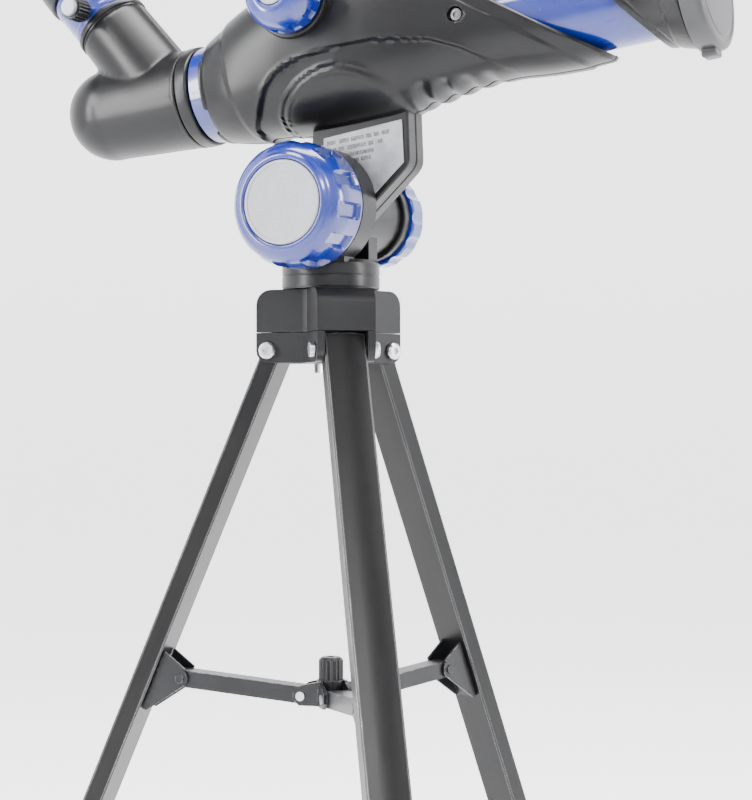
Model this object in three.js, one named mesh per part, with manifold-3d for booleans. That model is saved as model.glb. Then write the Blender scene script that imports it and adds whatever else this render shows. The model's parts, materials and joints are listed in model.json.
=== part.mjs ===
// A beginner's refractor telescope on a three-leg tripod.
// Millimetres, +Z up, +X towards the objective end, -Y the side of the large altitude knob.
// The origin is on the floor, at the middle of the bounding box.
import * as THREE from "three";
import { mergeVertices } from "three/addons/utils/BufferGeometryUtils.js";
import { ConvexGeometry } from "three/addons/geometries/ConvexGeometry.js";
import Module from "manifold-3d";

const wasm = await Module();
wasm.setup();
const DEG = Math.PI / 180;

// ---------------------------------------------------------------- clearances
const GAP = 0.3; // between pieces that are fixed to each other
const RUN = 0.4; // round shafts, sliding tubes and turning parts

// ---------------------------------------------------------------- tripod sizes
const TRIPOD_TURN = 10; // azimuth of the first leg is 180 + this
const LEG_SPREAD = 23; // legs lean out by this angle
const LEG_PIVOT_R = 30;
const LEG_PIVOT_Z = 355;
const LEG_WIDTH = 22;
const LEG_DEPTH = 12;
const LEG_WALL = 1.4;
const LEG_TOP = 6.6; // tube above its pivot
const BOLT_R = 2;
const LUG_T = 4;
const HUB_H = 22.5; // height of the lobed cap
const HUB_REACH = 36.5;
const CORE_R = 16;
const PAN_BOLT_R = 5;
const FOOT_H = 26;
const FOOT_WALL = 2.6;

// spreader
const BRACKET_ALONG = 182.7; // bracket pivot, down the leg
const BRACKET_OUT = 20; // bracket pivot, in from the leg's centre line
const BRACKET_T = 1.3;
const ARM_W = 11.4;
const ARM_H = 9;
const ARM_WALL = 1.2;
const ARM_PIVOT_R = 14.4;
const ARM_RISE = 5.2; // arms climb outwards by this angle
const PIN_R = 1.6;
const SP_CORE_R = 7.4;
const SP_LUG_T = 2;
const THUMB_R = 6.65;
const THUMB_H = 11.7;

// ---------------------------------------------------------------- head sizes
const COLLAR_R = 25.7;
const COLLAR_H = 15;
const TILT_RISE = 41.7; // altitude axis over the hub's top
const CHEEK_R = 32;
const CHEEK_T = 15.2;
const KEEL_T = 18.7; // both halves together
const ALT_BOLT_R = 3.5;
const KNOB_R = 32.5;
const KNOB_L = 29.1;
const KNOB_NOTCHES = 12;
const DISC_R = KNOB_R - 11.2;
const REAR_BOSS_R = 21.5;
const REAR_BOSS_L = 30.4;
const FLANGE_R = REAR_BOSS_R + 2.5;
const FLANGE_L = 6.7;
const REAR_KNOB_R = 26.3;
const REAR_KNOB_L = 16.6;

// ---------------------------------------------------------------- telescope sizes
const ELEVATION = 7.1;
const AXIS_OVER_PIVOT = KNOB_R + 42.5; // optical axis above the altitude axis
const FORWARD = 9.5; // middle of the housing ahead of the altitude axis
const SHELL_WALL = 2.4;
const TUBE_R = 21.5;
const TUBE_WALL = 1.3;
const TUBE_REAR = 30;
const TUBE_FRONT = 182;
const DRAW_WALL = 1.6;
const DRAW_SPACE = 2.9; // between the draw tube's bore and the main tube
const DRAW_R = TUBE_R + DRAW_SPACE + DRAW_WALL;
const DRAW_REAR = -73.7;
const DRAW_FRONT = 24;
const CELL_R = TUBE_R + 3.1;
const CELL_L = 7.7;
const LENS_R = CELL_R - 1.7;
const SHIELD_WALL = 1.8;
const SHIELD_R = CELL_R + 5.4;
const SHIELD_FRONT = 198;
const CAP_R = SHIELD_R + 3;
const CAP_L = 11.7;
const FOCUS_U = 0; // focus shaft, along the axis and above it
const GEAR_M = 0.8; // gear module
const GEAR_TEETH = 10;
const FOCUS_V = DRAW_R + 1.6 + (GEAR_M * GEAR_TEETH) / 2;
const FOCUS_R = 19.7;
const FOCUS_L = 19.8;
const FOCUS_SHAFT_R = 2.5;
const BOSS_FACE = TUBE_R + 18.3;
const GEAR_W = 8;

// diagonal and eyepiece
const COLLAR_FLANGE_R = DRAW_R + 1.2;
const COLLAR_FLANGE_L = 7.6;
const ELBOW_R = DRAW_R + 1;
const BULB_U = -137.4;
const BULB_V = 1.4;
const BULB_R = 25.3;
const FOLD_U = -98.2; // where the light path turns
const FOLD_ANGLE = 34.2; // the upper arm leans back from +V by this
const ARM_TUBE_R = 21;
const ARM_TUBE_L = 58.4; // from the fold to the top seam
const HOLDER_R = ARM_TUBE_R - 0.5;
const HOLDER_L = 25.4;
const BARREL_R = 15.9;
const EYE_R = HOLDER_R + 1.5;
const SET_SCREW_S = 9.6;

// ---------------------------------------------------------------- materials
const mat = (color, roughness, metalness) =>
  new THREE.MeshStandardMaterial({ color, roughness, metalness });
const BLACK = mat(0x17181b, 0.4, 0);
const SATIN = mat(0x222326, 0.6, 0);
const ALU = mat(0x1c1c1f, 0.38, 0.7);
const BLUE = mat(0x0f45b4, 0.22, 0);
const STEEL = mat(0xb9bcc0, 0.3, 1);
const DARK_STEEL = mat(0x3a3b3e, 0.4, 1);
const SILVER = mat(0xc9ccd0, 0.32, 0.9);
const RUBBER = mat(0x121214, 0.9, 0);
const GLASS = mat(0xa9c7e8, 0.05, 0);
const LABEL = mat(0xaeb2b8, 0.5, 0.4);
const BRASS = mat(0xb08d45, 0.35, 1);

// ---------------------------------------------------------------- solids
function solid(geometry) {
  const g = new THREE.BufferGeometry();
  const src = geometry.index ? geometry.toNonIndexed() : geometry;
  g.setAttribute("position", src.getAttribute("position").clone());
  const m = mergeVertices(g, 1e-4);
  const s = new wasm.Manifold(
    new wasm.Mesh({
      numProp: 3,
      vertProperties: m.attributes.position.array,
      triVerts: new Uint32Array(m.index.array),
    }),
  );
  if (s.volume() < 0) throw new Error("inside out");
  return s;
}

function geometryOf(s) {
  const m = s.getMesh();
  const v = new Float32Array(m.numVert * 3);
  for (let i = 0; i < m.numVert; i++)
    v.set(m.vertProperties.subarray(i * m.numProp, i * m.numProp + 3), i * 3);
  const g = new THREE.BufferGeometry();
  g.setAttribute("position", new THREE.BufferAttribute(v, 3));
  g.setIndex(new THREE.BufferAttribute(new Uint32Array(m.triVerts), 1));
  g.computeVertexNormals();
  return g;
}

function piece(name, s, material, parent) {
  const m = new THREE.Mesh(geometryOf(s), material);
  m.name = name;
  parent.add(m);
  return m;
}

// a turned solid about Z: profile of [r, z], from axis to axis or a closed loop
const FACETS = 0.65; // share of the facets asked for that turned pieces get
function turned(profile, segs = 32) {
  const n = 2 * Math.round(Math.max(10, segs * FACETS) / 2);
  let p = profile.map(([r, z]) => new THREE.Vector2(Math.max(r, 0), z));
  const closed = p[0].x > 1e-6 || p[p.length - 1].x > 1e-6;
  if (closed) p.push(p[0].clone());
  let area = 0;
  for (let i = 0; i < p.length; i++) {
    const a = p[i];
    const b = p[(i + 1) % p.length];
    area += a.x * b.y - b.x * a.y;
  }
  if (area < 0) p = p.reverse();
  return solid(new THREE.LatheGeometry(p, n).rotateX(Math.PI / 2));
}

// transforms through a matrix of three.js
function moved(s, m) {
  return s.transform(Array.from(m.elements));
}
const shift = (s, x, y, z) => moved(s, new THREE.Matrix4().makeTranslation(x, y, z));
const aboutX = (s, deg) => moved(s, new THREE.Matrix4().makeRotationX(deg * DEG));
const aboutY = (s, deg) => moved(s, new THREE.Matrix4().makeRotationY(deg * DEG));
const aboutZ = (s, deg) => moved(s, new THREE.Matrix4().makeRotationZ(deg * DEG));
// a Z solid laid along +X, or along +Y
const alongX = (s) => aboutY(s, 90);
const alongY = (s) => aboutX(s, -90);

const rod = (r, z0, z1, segs = 24) =>
  turned(
    [
      [0, z0],
      [r, z0],
      [r, z1],
      [0, z1],
    ],
    segs,
  );
const tube = (r0, r1, z0, z1, segs = 32) =>
  turned(
    [
      [r0, z0],
      [r1, z0],
      [r1, z1],
      [r0, z1],
    ],
    segs,
  );
const rodX = (r, x0, x1, segs) => alongX(rod(r, x0, x1, segs));
const rodY = (r, y0, y1, segs) => alongY(rod(r, y0, y1, segs));

const block = (x0, x1, y0, y1, z0, z1) =>
  solid(
    new THREE.BoxGeometry(x1 - x0, y1 - y0, z1 - z0).translate(
      (x0 + x1) / 2,
      (y0 + y1) / 2,
      (z0 + z1) / 2,
    ),
  );

// outline of [x, y] raised from z0 to z1
function plate(points, z0, z1) {
  const shape = new THREE.Shape(points.map(([x, y]) => new THREE.Vector2(x, y)));
  const g = new THREE.ExtrudeGeometry(shape, { depth: z1 - z0, bevelEnabled: false });
  return solid(g.translate(0, 0, z0));
}
// outline of [x, z] drawn out from y0 to y1
function slab(points, y0, y1) {
  const s = plate(points, 0, y1 - y0);
  return shift(aboutX(s, 90), 0, y1, 0);
}
const arc = (cx, cy, r, a0, a1, n) =>
  Array.from({ length: n + 1 }, (_, i) => {
    const a = (a0 + ((a1 - a0) * i) / n) * DEG;
    return [cx + r * Math.cos(a), cy + r * Math.sin(a)];
  });
const hull = (points) => solid(new ConvexGeometry(points));

function group(parent, x = 0, y = 0, z = 0) {
  const g = new THREE.Group();
  g.position.set(x, y, z);
  parent.add(g);
  return g;
}

const model = new THREE.Group();
const LUG_IN = LEG_WIDTH / 2 + RUN; // inner face of a clevis lug
const LUG_OUT = LUG_IN + LUG_T;
const HUB_BASE = LEG_PIVOT_Z + 9.5; // seam between bracket and cap
const HUB_TOP = HUB_BASE + HUB_H;
const TILT_Z = HUB_TOP + TILT_RISE;
const LEG_AZ = [180, 300, 60].map((a) => a + TRIPOD_TURN);
const LEG_NAMES = ["left", "front", "right"];
const HEAD_SIDE = [1, 1, -1]; // which end of each leg bolt carries its head

// ---------------------------------------------------------------- tripod hub
function hubCap() {
  const w = LUG_OUT;
  const top = HUB_TOP;
  const z0 = HUB_BASE + GAP / 2;
  const r = 8;
  const lobe = slab(
    [
      [0, z0],
      [HUB_REACH, z0],
      ...arc(HUB_REACH - r, top - r, r, 0, 90, 5),
      [0, top],
    ],
    -w,
    w,
  );
  let s = rod(CORE_R + 3, z0, top, 32);
  for (const a of LEG_AZ) s = s.add(aboutZ(lobe, a));
  return s.subtract(rod(PAN_BOLT_R + RUN, z0 - 1, top + 1));
}

function hubBracket() {
  const top = HUB_BASE - GAP / 2;
  const low = LEG_PIVOT_Z - 6.5;
  let s = rod(CORE_R, low, top, 32);
  const outline = [
    [CORE_R / 2, low],
    [LEG_PIVOT_R, low],
    ...arc(LEG_PIVOT_R, LEG_PIVOT_Z, 6.5, -90, 0, 4),
    [LEG_PIVOT_R + 6.5, top],
    [CORE_R / 2, top],
  ];
  const lugs = slab(outline, -LUG_OUT, -LUG_IN).add(slab(outline, LUG_IN, LUG_OUT));
  for (const a of LEG_AZ) s = s.add(aboutZ(lugs, a));
  // the legs' tops swing in the clevises
  const pocket = block(CORE_R - 2, HUB_REACH + 5, -LUG_IN, LUG_IN, low - 1, top + 1);
  const bore = shift(
    rodY(BOLT_R + RUN / 2, -LUG_OUT - 1, LUG_OUT + 1, 16),
    LEG_PIVOT_R,
    0,
    LEG_PIVOT_Z,
  );
  for (const a of LEG_AZ) s = s.subtract(aboutZ(pocket.add(bore), a));
  return s.subtract(rod(PAN_BOLT_R + RUN, low - 1, top + 1));
}

function panBolt() {
  const seat = LEG_PIVOT_Z - 6.5 - GAP;
  return turned(
    [
      [0, seat - 5],
      [9, seat - 5],
      [9, seat],
      [PAN_BOLT_R, seat],
      [PAN_BOLT_R, HUB_TOP + COLLAR_H - 4],
      [0, HUB_TOP + COLLAR_H - 4],
    ],
    24,
  );
}

function legBolt(side) {
  const f = LUG_OUT + GAP;
  const s = turned(
    [
      [0, -f - 2.6],
      [3.9, -f - 2.6],
      [3.9, -f],
      [BOLT_R, -f],
      [BOLT_R, f],
      [4.6, f],
      [4.6, f + 1.8],
      [3.6, f + 3],
      [1.7, f + 3],
      [1.7, f + 1.4],
      [0, f + 1.4],
    ],
    18,
  );
  return aboutX(s, side > 0 ? -90 : 90);
}

// ---------------------------------------------------------------- legs
// Leg frame: origin at the leg pivot, +Z up along the leg, +X outwards, Y across.
const LEG_LENGTH = LEG_PIVOT_Z / Math.cos(LEG_SPREAD * DEG);
const HX = LEG_DEPTH / 2;
const HY = LEG_WIDTH / 2;
const legOutline = (d) => [
  [-HX + d, -HY + 0.8 + d],
  [-HX + 0.8 + d, -HY + d],
  [HX - 2.3 - d, -HY + d],
  [HX - 1.3 - d, -HY + 0.9 + d],
  [HX - 0.35 - d, -HY / 2],
  [HX - d, 0],
  [HX - 0.35 - d, HY / 2],
  [HX - 1.3 - d, HY - 0.9 - d],
  [HX - 2.3 - d, HY - d],
  [-HX + 0.8 + d, HY - d],
  [-HX + d, HY - 0.8 - d],
];
const TUBE_END = -LEG_LENGTH + 9;

function legTube() {
  const s = plate(legOutline(0), TUBE_END, LEG_TOP);
  const hollow = plate(legOutline(LEG_WALL), TUBE_END - 1, LEG_TOP + 1);
  return s.subtract(hollow).subtract(rodY(BOLT_R + RUN / 2, -HY - 1, HY + 1, 16));
}

function legPlug() {
  const s = plate(legOutline(LEG_WALL + GAP), -18, LEG_TOP - 0.5);
  return s.subtract(rodY(BOLT_R + RUN / 2, -HY - 1, HY + 1, 16));
}

function legFoot() {
  const low = -LEG_LENGTH - 6;
  const s = plate(legOutline(-FOOT_WALL), low, -LEG_LENGTH + FOOT_H);
  const socket = plate(legOutline(-GAP), TUBE_END - GAP, -LEG_LENGTH + FOOT_H + 1);
  const floor = shift(aboutY(block(-60, 60, -40, 40, -60, 0), LEG_SPREAD), 0, 0, -LEG_LENGTH);
  return s.subtract(socket).subtract(floor);
}

function spreaderBracket() {
  const face = -HX - GAP;
  const zb = -BRACKET_ALONG;
  const xb = -BRACKET_OUT;
  const inner = ARM_W / 2 + RUN;
  const outline = [
    [face, zb + 10],
    [xb - 1, zb + 6],
    ...arc(xb, zb, 4.6, 100, 200, 4),
    [-9, zb - 24],
    [face, zb - 24],
  ];
  let s = slab(outline, inner, inner + BRACKET_T).add(
    slab(outline, -inner - BRACKET_T, -inner),
  );
  // the web lies against the leg below the arm's end
  s = s.add(block(face - 1.6, face, -inner - 0.5, inner + 0.5, zb - 24, zb - 9));
  // closed rivet heads on both cheeks
  for (const side of [-1, 1]) {
    const y = side * (inner + BRACKET_T);
    const head = shift(rodY(2.4, -0.9, 0.9, 14), xb, y, zb);
    s = s.add(head.subtract(block(-60, 60, -inner, inner, zb - 20, zb + 20)));
  }
  return s;
}

// ---------------------------------------------------------------- spreader
const restLeg = (along, out) => {
  const t = LEG_SPREAD * DEG;
  return [
    LEG_PIVOT_R + along * Math.sin(t) - out * Math.cos(t),
    LEG_PIVOT_Z - along * Math.cos(t) - out * Math.sin(t),
  ];
};
const [BRACKET_R, BRACKET_Z] = restLeg(BRACKET_ALONG, BRACKET_OUT);
const ARM_L = (BRACKET_R - ARM_PIVOT_R) / Math.cos(ARM_RISE * DEG);
const ARM_PIVOT_Z = BRACKET_Z - ARM_L * Math.sin(ARM_RISE * DEG);
const SP_TOP = 8.4; // hub top over the arm pivots
const SP_LOW = -5;

function spreaderHub() {
  const inner = ARM_W / 2 + RUN;
  let s = rod(SP_CORE_R, SP_LOW, SP_TOP, 24);
  const outline = [
    [SP_CORE_R / 3, SP_LOW],
    [ARM_PIVOT_R + 1, SP_LOW],
    [ARM_PIVOT_R + 4.2, SP_LOW + 3],
    [ARM_PIVOT_R + 4.2, 3],
    [ARM_PIVOT_R, 5.6],
    [SP_CORE_R / 3, SP_TOP],
  ];
  const lugs = slab(outline, inner, inner + SP_LUG_T).add(
    slab(outline, -inner - SP_LUG_T, -inner),
  );
  for (const a of LEG_AZ) s = s.add(aboutZ(lugs, a));
  const pocket = block(SP_CORE_R + 0.2, 40, -inner, inner, SP_LOW - 1, SP_TOP + 1);
  const bore = shift(rodY(PIN_R + 0.2, -20, 20, 14), ARM_PIVOT_R, 0, 0);
  for (const a of LEG_AZ) s = s.subtract(aboutZ(pocket.add(bore), a));
  return s.subtract(rod(2.8, SP_LOW - 1, SP_TOP + 1, 20));
}

function thumbKnob() {
  const z = SP_TOP + GAP;
  return turned(
    [
      [0, SP_LOW + 1],
      [2.4, SP_LOW + 1],
      [2.4, z],
      [THUMB_R, z],
      [THUMB_R, z + THUMB_H - 2],
      [THUMB_R - 0.6, z + THUMB_H - 0.7],
      [THUMB_R - 1.8, z + THUMB_H],
      [0, z + THUMB_H],
    ],
    28,
  );
}

// Arm frame: origin at the hub-end pivot, +X out along the arm.
function spreaderArm() {
  const h = ARM_H / 2;
  const end = 3; // past the bracket pivot
  const outline = (d) => [
    ...arc(0, 0, h - d, 90, 270, 8),
    [ARM_L + end - d - 1.5, -h + d],
    [ARM_L + end - d, -h + 1.5 + d],
    [ARM_L + end - d, h - 1.5 - d],
    [ARM_L + end - d - 1.5, h - d],
  ];
  const w = ARM_W / 2;
  const s = slab(outline(0), -w, w);
  // a channel, open underneath
  const channel = block(2.9, ARM_L - 2.9, -w + ARM_WALL, w - ARM_WALL, -h - 1, h - ARM_WALL);
  const bore = rodY(PIN_R + 0.2, -w - 1, w + 1, 14);
  return s.subtract(channel).subtract(bore).subtract(shift(bore, ARM_L, 0, 0));
}

function armPin() {
  const f = ARM_W / 2 + RUN + SP_LUG_T + GAP / 2;
  return alongY(
    turned(
      [
        [0, -f - 0.9],
        [2.5, -f - 0.9],
        [2.5, -f],
        [PIN_R, -f],
        [PIN_R, f],
        [2.5, f],
        [2.5, f + 0.9],
        [0, f + 0.9],
      ],
      14,
    ),
  );
}

const hub = group(model);
piece("hub_cap", hubCap(), BLACK, hub);
piece("hub_bracket", hubBracket(), BLACK, hub);
piece("pan_bolt", panBolt(), DARK_STEEL, hub);

const spreader = group(model, 0, 0, ARM_PIVOT_Z);
piece("spreader_hub", spreaderHub(), BLACK, spreader);
piece("spreader_thumb_knob", thumbKnob(), BLACK, spreader);

LEG_NAMES.forEach((name, i) => {
  const turn = new THREE.Group();
  turn.rotation.z = LEG_AZ[i] * DEG;
  model.add(turn);
  const pivot = group(turn, LEG_PIVOT_R, 0, LEG_PIVOT_Z);
  piece("leg_bolt_" + name, legBolt(HEAD_SIDE[i]), DARK_STEEL, pivot);
  const leg = group(pivot);
  leg.rotation.y = -LEG_SPREAD * DEG;
  piece("leg_tube_" + name, legTube(), ALU, leg);
  piece("leg_plug_" + name, legPlug(), BLACK, leg);
  piece("foot_" + name, legFoot(), RUBBER, leg);
  piece("spreader_bracket_" + name, spreaderBracket(), DARK_STEEL, leg);

  const inner = group(turn, ARM_PIVOT_R, 0, ARM_PIVOT_Z);
  piece("arm_pin_" + name, armPin(), STEEL, inner);
  const arm = group(inner);
  arm.rotation.y = -ARM_RISE * DEG;
  piece("spreader_arm_" + name, spreaderArm(), DARK_STEEL, arm);
});

// ---------------------------------------------------------------- head
const CHEEK_FACE = KEEL_T / 2 + 1.2; // cheeks' inner faces
const CHEEK_OUT = CHEEK_FACE + CHEEK_T;
const REAR_OUT = CHEEK_FACE + REAR_BOSS_L;
const KNOB_BACK = CHEEK_OUT + GAP;
const KNOB_FACE = KNOB_BACK + KNOB_L;
const FLANGE_BACK = REAR_OUT + GAP;
const REAR_KNOB_BACK = FLANGE_BACK + FLANGE_L + GAP;
const REAR_KNOB_FACE = REAR_KNOB_BACK + REAR_KNOB_L;
const ALT_BORE = ALT_BOLT_R + GAP;

// The altitude axis runs along Y through the frame's origin.
function yoke() {
  const base = HUB_TOP + GAP - TILT_Z;
  let s = turned(
    [
      [0, base],
      [COLLAR_R, base],
      [COLLAR_R, base + COLLAR_H - 1.5],
      [COLLAR_R - 1.5, base + COLLAR_H],
      [0, base + COLLAR_H],
    ],
    40,
  );
  const cheek = turned(
    [
      [0, CHEEK_FACE],
      [CHEEK_R, CHEEK_FACE],
      [CHEEK_R, CHEEK_OUT],
      [0, CHEEK_OUT],
    ],
    48,
  );
  const top = base + COLLAR_H;
  s = s.add(aboutX(cheek, 90)).add(block(-19, 19, -22, -CHEEK_FACE, top - 2, -4));
  const boss = turned(
    [
      [0, CHEEK_FACE],
      [REAR_BOSS_R, CHEEK_FACE],
      [REAR_BOSS_R, REAR_OUT],
      [0, REAR_OUT],
    ],
    40,
  );
  s = s.add(aboutX(boss, -90)).add(block(-17, 17, CHEEK_FACE, 21, top - 2, -4));
  s = s.subtract(rodY(ALT_BORE, -CHEEK_OUT - 1, REAR_OUT + 1));
  return s.subtract(rod(PAN_BOLT_R + RUN, base - 1, HUB_TOP + COLLAR_H - 3.5 - TILT_Z));
}

function altitudeBolt() {
  return rodY(ALT_BOLT_R, -KNOB_FACE + 5, REAR_KNOB_FACE - 4);
}

function altitudeKnob() {
  const b = KNOB_BACK;
  const f = KNOB_FACE;
  let s = aboutX(
    turned(
      [
        [0, f - 4.4],
        [ALT_BORE, f - 4.4],
        [ALT_BORE, b],
        [KNOB_R - 1.5, b],
        [KNOB_R, b + 1.5],
        [KNOB_R, b + 16.5],
        [KNOB_R - 0.8, b + 21],
        [KNOB_R - 2.9, b + 25],
        [KNOB_R - 5.4, b + 27.4],
        [25, f - 0.8],
        [23.8, f],
        [22.4, f],
        [DISC_R + 0.5, f - 0.6],
        [DISC_R + 0.5, f - 2],
        [0, f - 2],
      ],
      48,
    ),
    90,
  );
  const notch = block(KNOB_R - 1.7, KNOB_R + 4, -b - 17.5, -b - 4, -3.5, 3.5);
  for (let i = 0; i < KNOB_NOTCHES; i++)
    s = s.subtract(aboutY(notch, ((i + 0.5) * 360) / KNOB_NOTCHES));
  return s;
}

function disc(r, back, front, side) {
  return aboutX(
    turned(
      [
        [0, back],
        [r, back],
        [r, front - 0.3],
        [r - 0.4, front],
        [0, front],
      ],
      32,
    ),
    side * -90,
  );
}

function rearFlange() {
  return alongY(tube(ALT_BORE, FLANGE_R, FLANGE_BACK, FLANGE_BACK + FLANGE_L, 36));
}

function rearKnob() {
  const b = REAR_KNOB_BACK;
  const f = REAR_KNOB_FACE;
  let s = alongY(
    turned(
      [
        [0, f - 3.6],
        [ALT_BORE, f - 3.6],
        [ALT_BORE, b],
        [REAR_KNOB_R - 1, b],
        [REAR_KNOB_R, b + 1],
        [REAR_KNOB_R, f - 5],
        [REAR_KNOB_R - 2, f - 1.4],
        [REAR_KNOB_R - 5, f],
        [16.6, f],
        [16.6, f - 1.4],
        [0, f - 1.4],
      ],
      36,
    ),
  );
  const flute = rodY(5, b - 1, f + 1, 12);
  for (let i = 0; i < KNOB_NOTCHES; i++)
    s = s.subtract(aboutY(shift(flute, REAR_KNOB_R + 3.6, 0, 0), (i * 360) / KNOB_NOTCHES));
  return s;
}

const head = group(model, 0, 0, TILT_Z);
piece("yoke", yoke(), BLACK, head);
piece("altitude_bolt", altitudeBolt(), STEEL, head);
piece("altitude_knob", altitudeKnob(), BLUE, head);
piece("altitude_knob_disc", disc(DISC_R, KNOB_FACE - 1.7, KNOB_FACE - 0.5, -1), SILVER, head);
piece("rear_flange", rearFlange(), BLACK, head);
piece("rear_knob", rearKnob(), BLUE, head);
piece("rear_knob_disc", disc(16, REAR_KNOB_FACE - 1.1, REAR_KNOB_FACE - 0.1, 1), SILVER, head);

// ---------------------------------------------------------------- telescope
// Telescope frame: origin on the optical axis, FORWARD of the altitude axis,
// +X (u) to the objective, +Y (w) to the far side, +Z (v) up.
const tilting = group(head);
tilting.rotation.y = -ELEVATION * DEG;
const scope = group(tilting, FORWARD, 0, AXIS_OVER_PIVOT);

// housing outline: u, then how far its bottom, top and sides stand off the main tube
const STATIONS = [
  [-64, 6.8, 6.8, 6.8],
  [-57, 8.5, 9.5, 9.5],
  [-50, 9.8, 13.5, 11.5],
  [-42, 10.8, 17.5, 12.7],
  [-30, 11.7, 22.5, 13.7],
  [-15, 12.9, 27.5, 14.5],
  [0, 13.5, 30.5, 14.5],
  [20, 13.7, 31.5, 14.5],
  [40, 13.3, 29.5, 13.5],
  [57, 11.5, 26, 11.9],
  [75, 7.9, 21.5, 9.7],
  [89, 5.3, 18.5, 7.9],
  [104, 4.1, 15.5, 6.5],
  [122, 6.1, 12.5, 5.7],
  [140, 6.9, 10.5, 4.9],
  [159, 6.1, 8.5, 4.1],
].map(([u, lo, hi, b]) => [u, -TUBE_R - lo, TUBE_R + hi, TUBE_R + b]);
const SECTION_POWER = 2.3;
const SECTION_POINTS = 26;
const REAR_LIP = 3; // housing's rear wall
const CUT_U = 148.5; // slanted front edge of the housing
const CUT_V = -TUBE_R - 0.5;
const CUT_ANGLE = 35.7;
const FRONT_WALL = 2.6;
const BULKHEAD_U = 35.5;
const BULKHEAD_T = 3;

function lofted(stations) {
  const n = SECTION_POINTS;
  const verts = [];
  for (const [u, lo, hi, b] of stations)
    for (let k = 0; k < n; k++) {
      const t = (2 * Math.PI * k) / n;
      const c = Math.cos(t);
      const s = Math.sin(t);
      const p = 2 / SECTION_POWER;
      const y = b * Math.sign(c) * Math.abs(c) ** p;
      const z = (lo + hi) / 2 + ((hi - lo) / 2) * Math.sign(s) * Math.abs(s) ** p;
      verts.push([u, y, z]);
    }
  const first = verts.length;
  const ends = [stations[0], stations[stations.length - 1]];
  for (const [u, lo, hi] of ends) verts.push([u, 0, (lo + hi) / 2]);
  const pos = [];
  const tri = (a, b, c) => pos.push(...verts[a], ...verts[b], ...verts[c]);
  for (let i = 0; i + 1 < stations.length; i++)
    for (let k = 0; k < n; k++) {
      const k1 = (k + 1) % n;
      const a = i * n + k;
      const b = i * n + k1;
      tri(a, b, a + n);
      tri(b, b + n, a + n);
    }
  const last = (stations.length - 1) * n;
  for (let k = 0; k < n; k++) {
    const k1 = (k + 1) % n;
    tri(first, k1, k);
    tri(first + 1, last + k, last + k1);
  }
  const g = new THREE.BufferGeometry();
  g.setAttribute("position", new THREE.Float32BufferAttribute(pos, 3));
  return solid(g);
}

// everything ahead of the slanted cut, moved back by d
function aheadOfCut(d) {
  const b = block(0, 300, -80, 80, -300, 300);
  const turnedBlock = aboutY(b, CUT_ANGLE - 90);
  const n = [Math.sin(CUT_ANGLE * DEG), Math.cos(CUT_ANGLE * DEG)];
  return shift(turnedBlock, CUT_U - d * n[0], 0, CUT_V - d * n[1]);
}

const SCREWS = [
  [30, DRAW_R + 12],
  [-20, DRAW_R + 8],
];
const SCREW_HEAD_R = 3.2;
const SCREW_SHANK_R = 1.5;
const SCREW_SEAT = TUBE_R - 1.5;
const GRUB_U = 85.6; // short screw into the tube, on the near side
const GRUB_V = 5.5;

function keelOutline(d) {
  return [
    [-16.5 + d * 1.2, 9 - AXIS_OVER_PIVOT],
    [-9 + d, -TUBE_R - 8.5],
    [46 - d, -TUBE_R - 8.5],
    [43 - d, 15 - AXIS_OVER_PIVOT - d * 0.2],
    [13 - FORWARD - d * 0.3, -AXIS_OVER_PIVOT - 14 + d],
  ];
}
const BOSS_R = 19;

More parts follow.
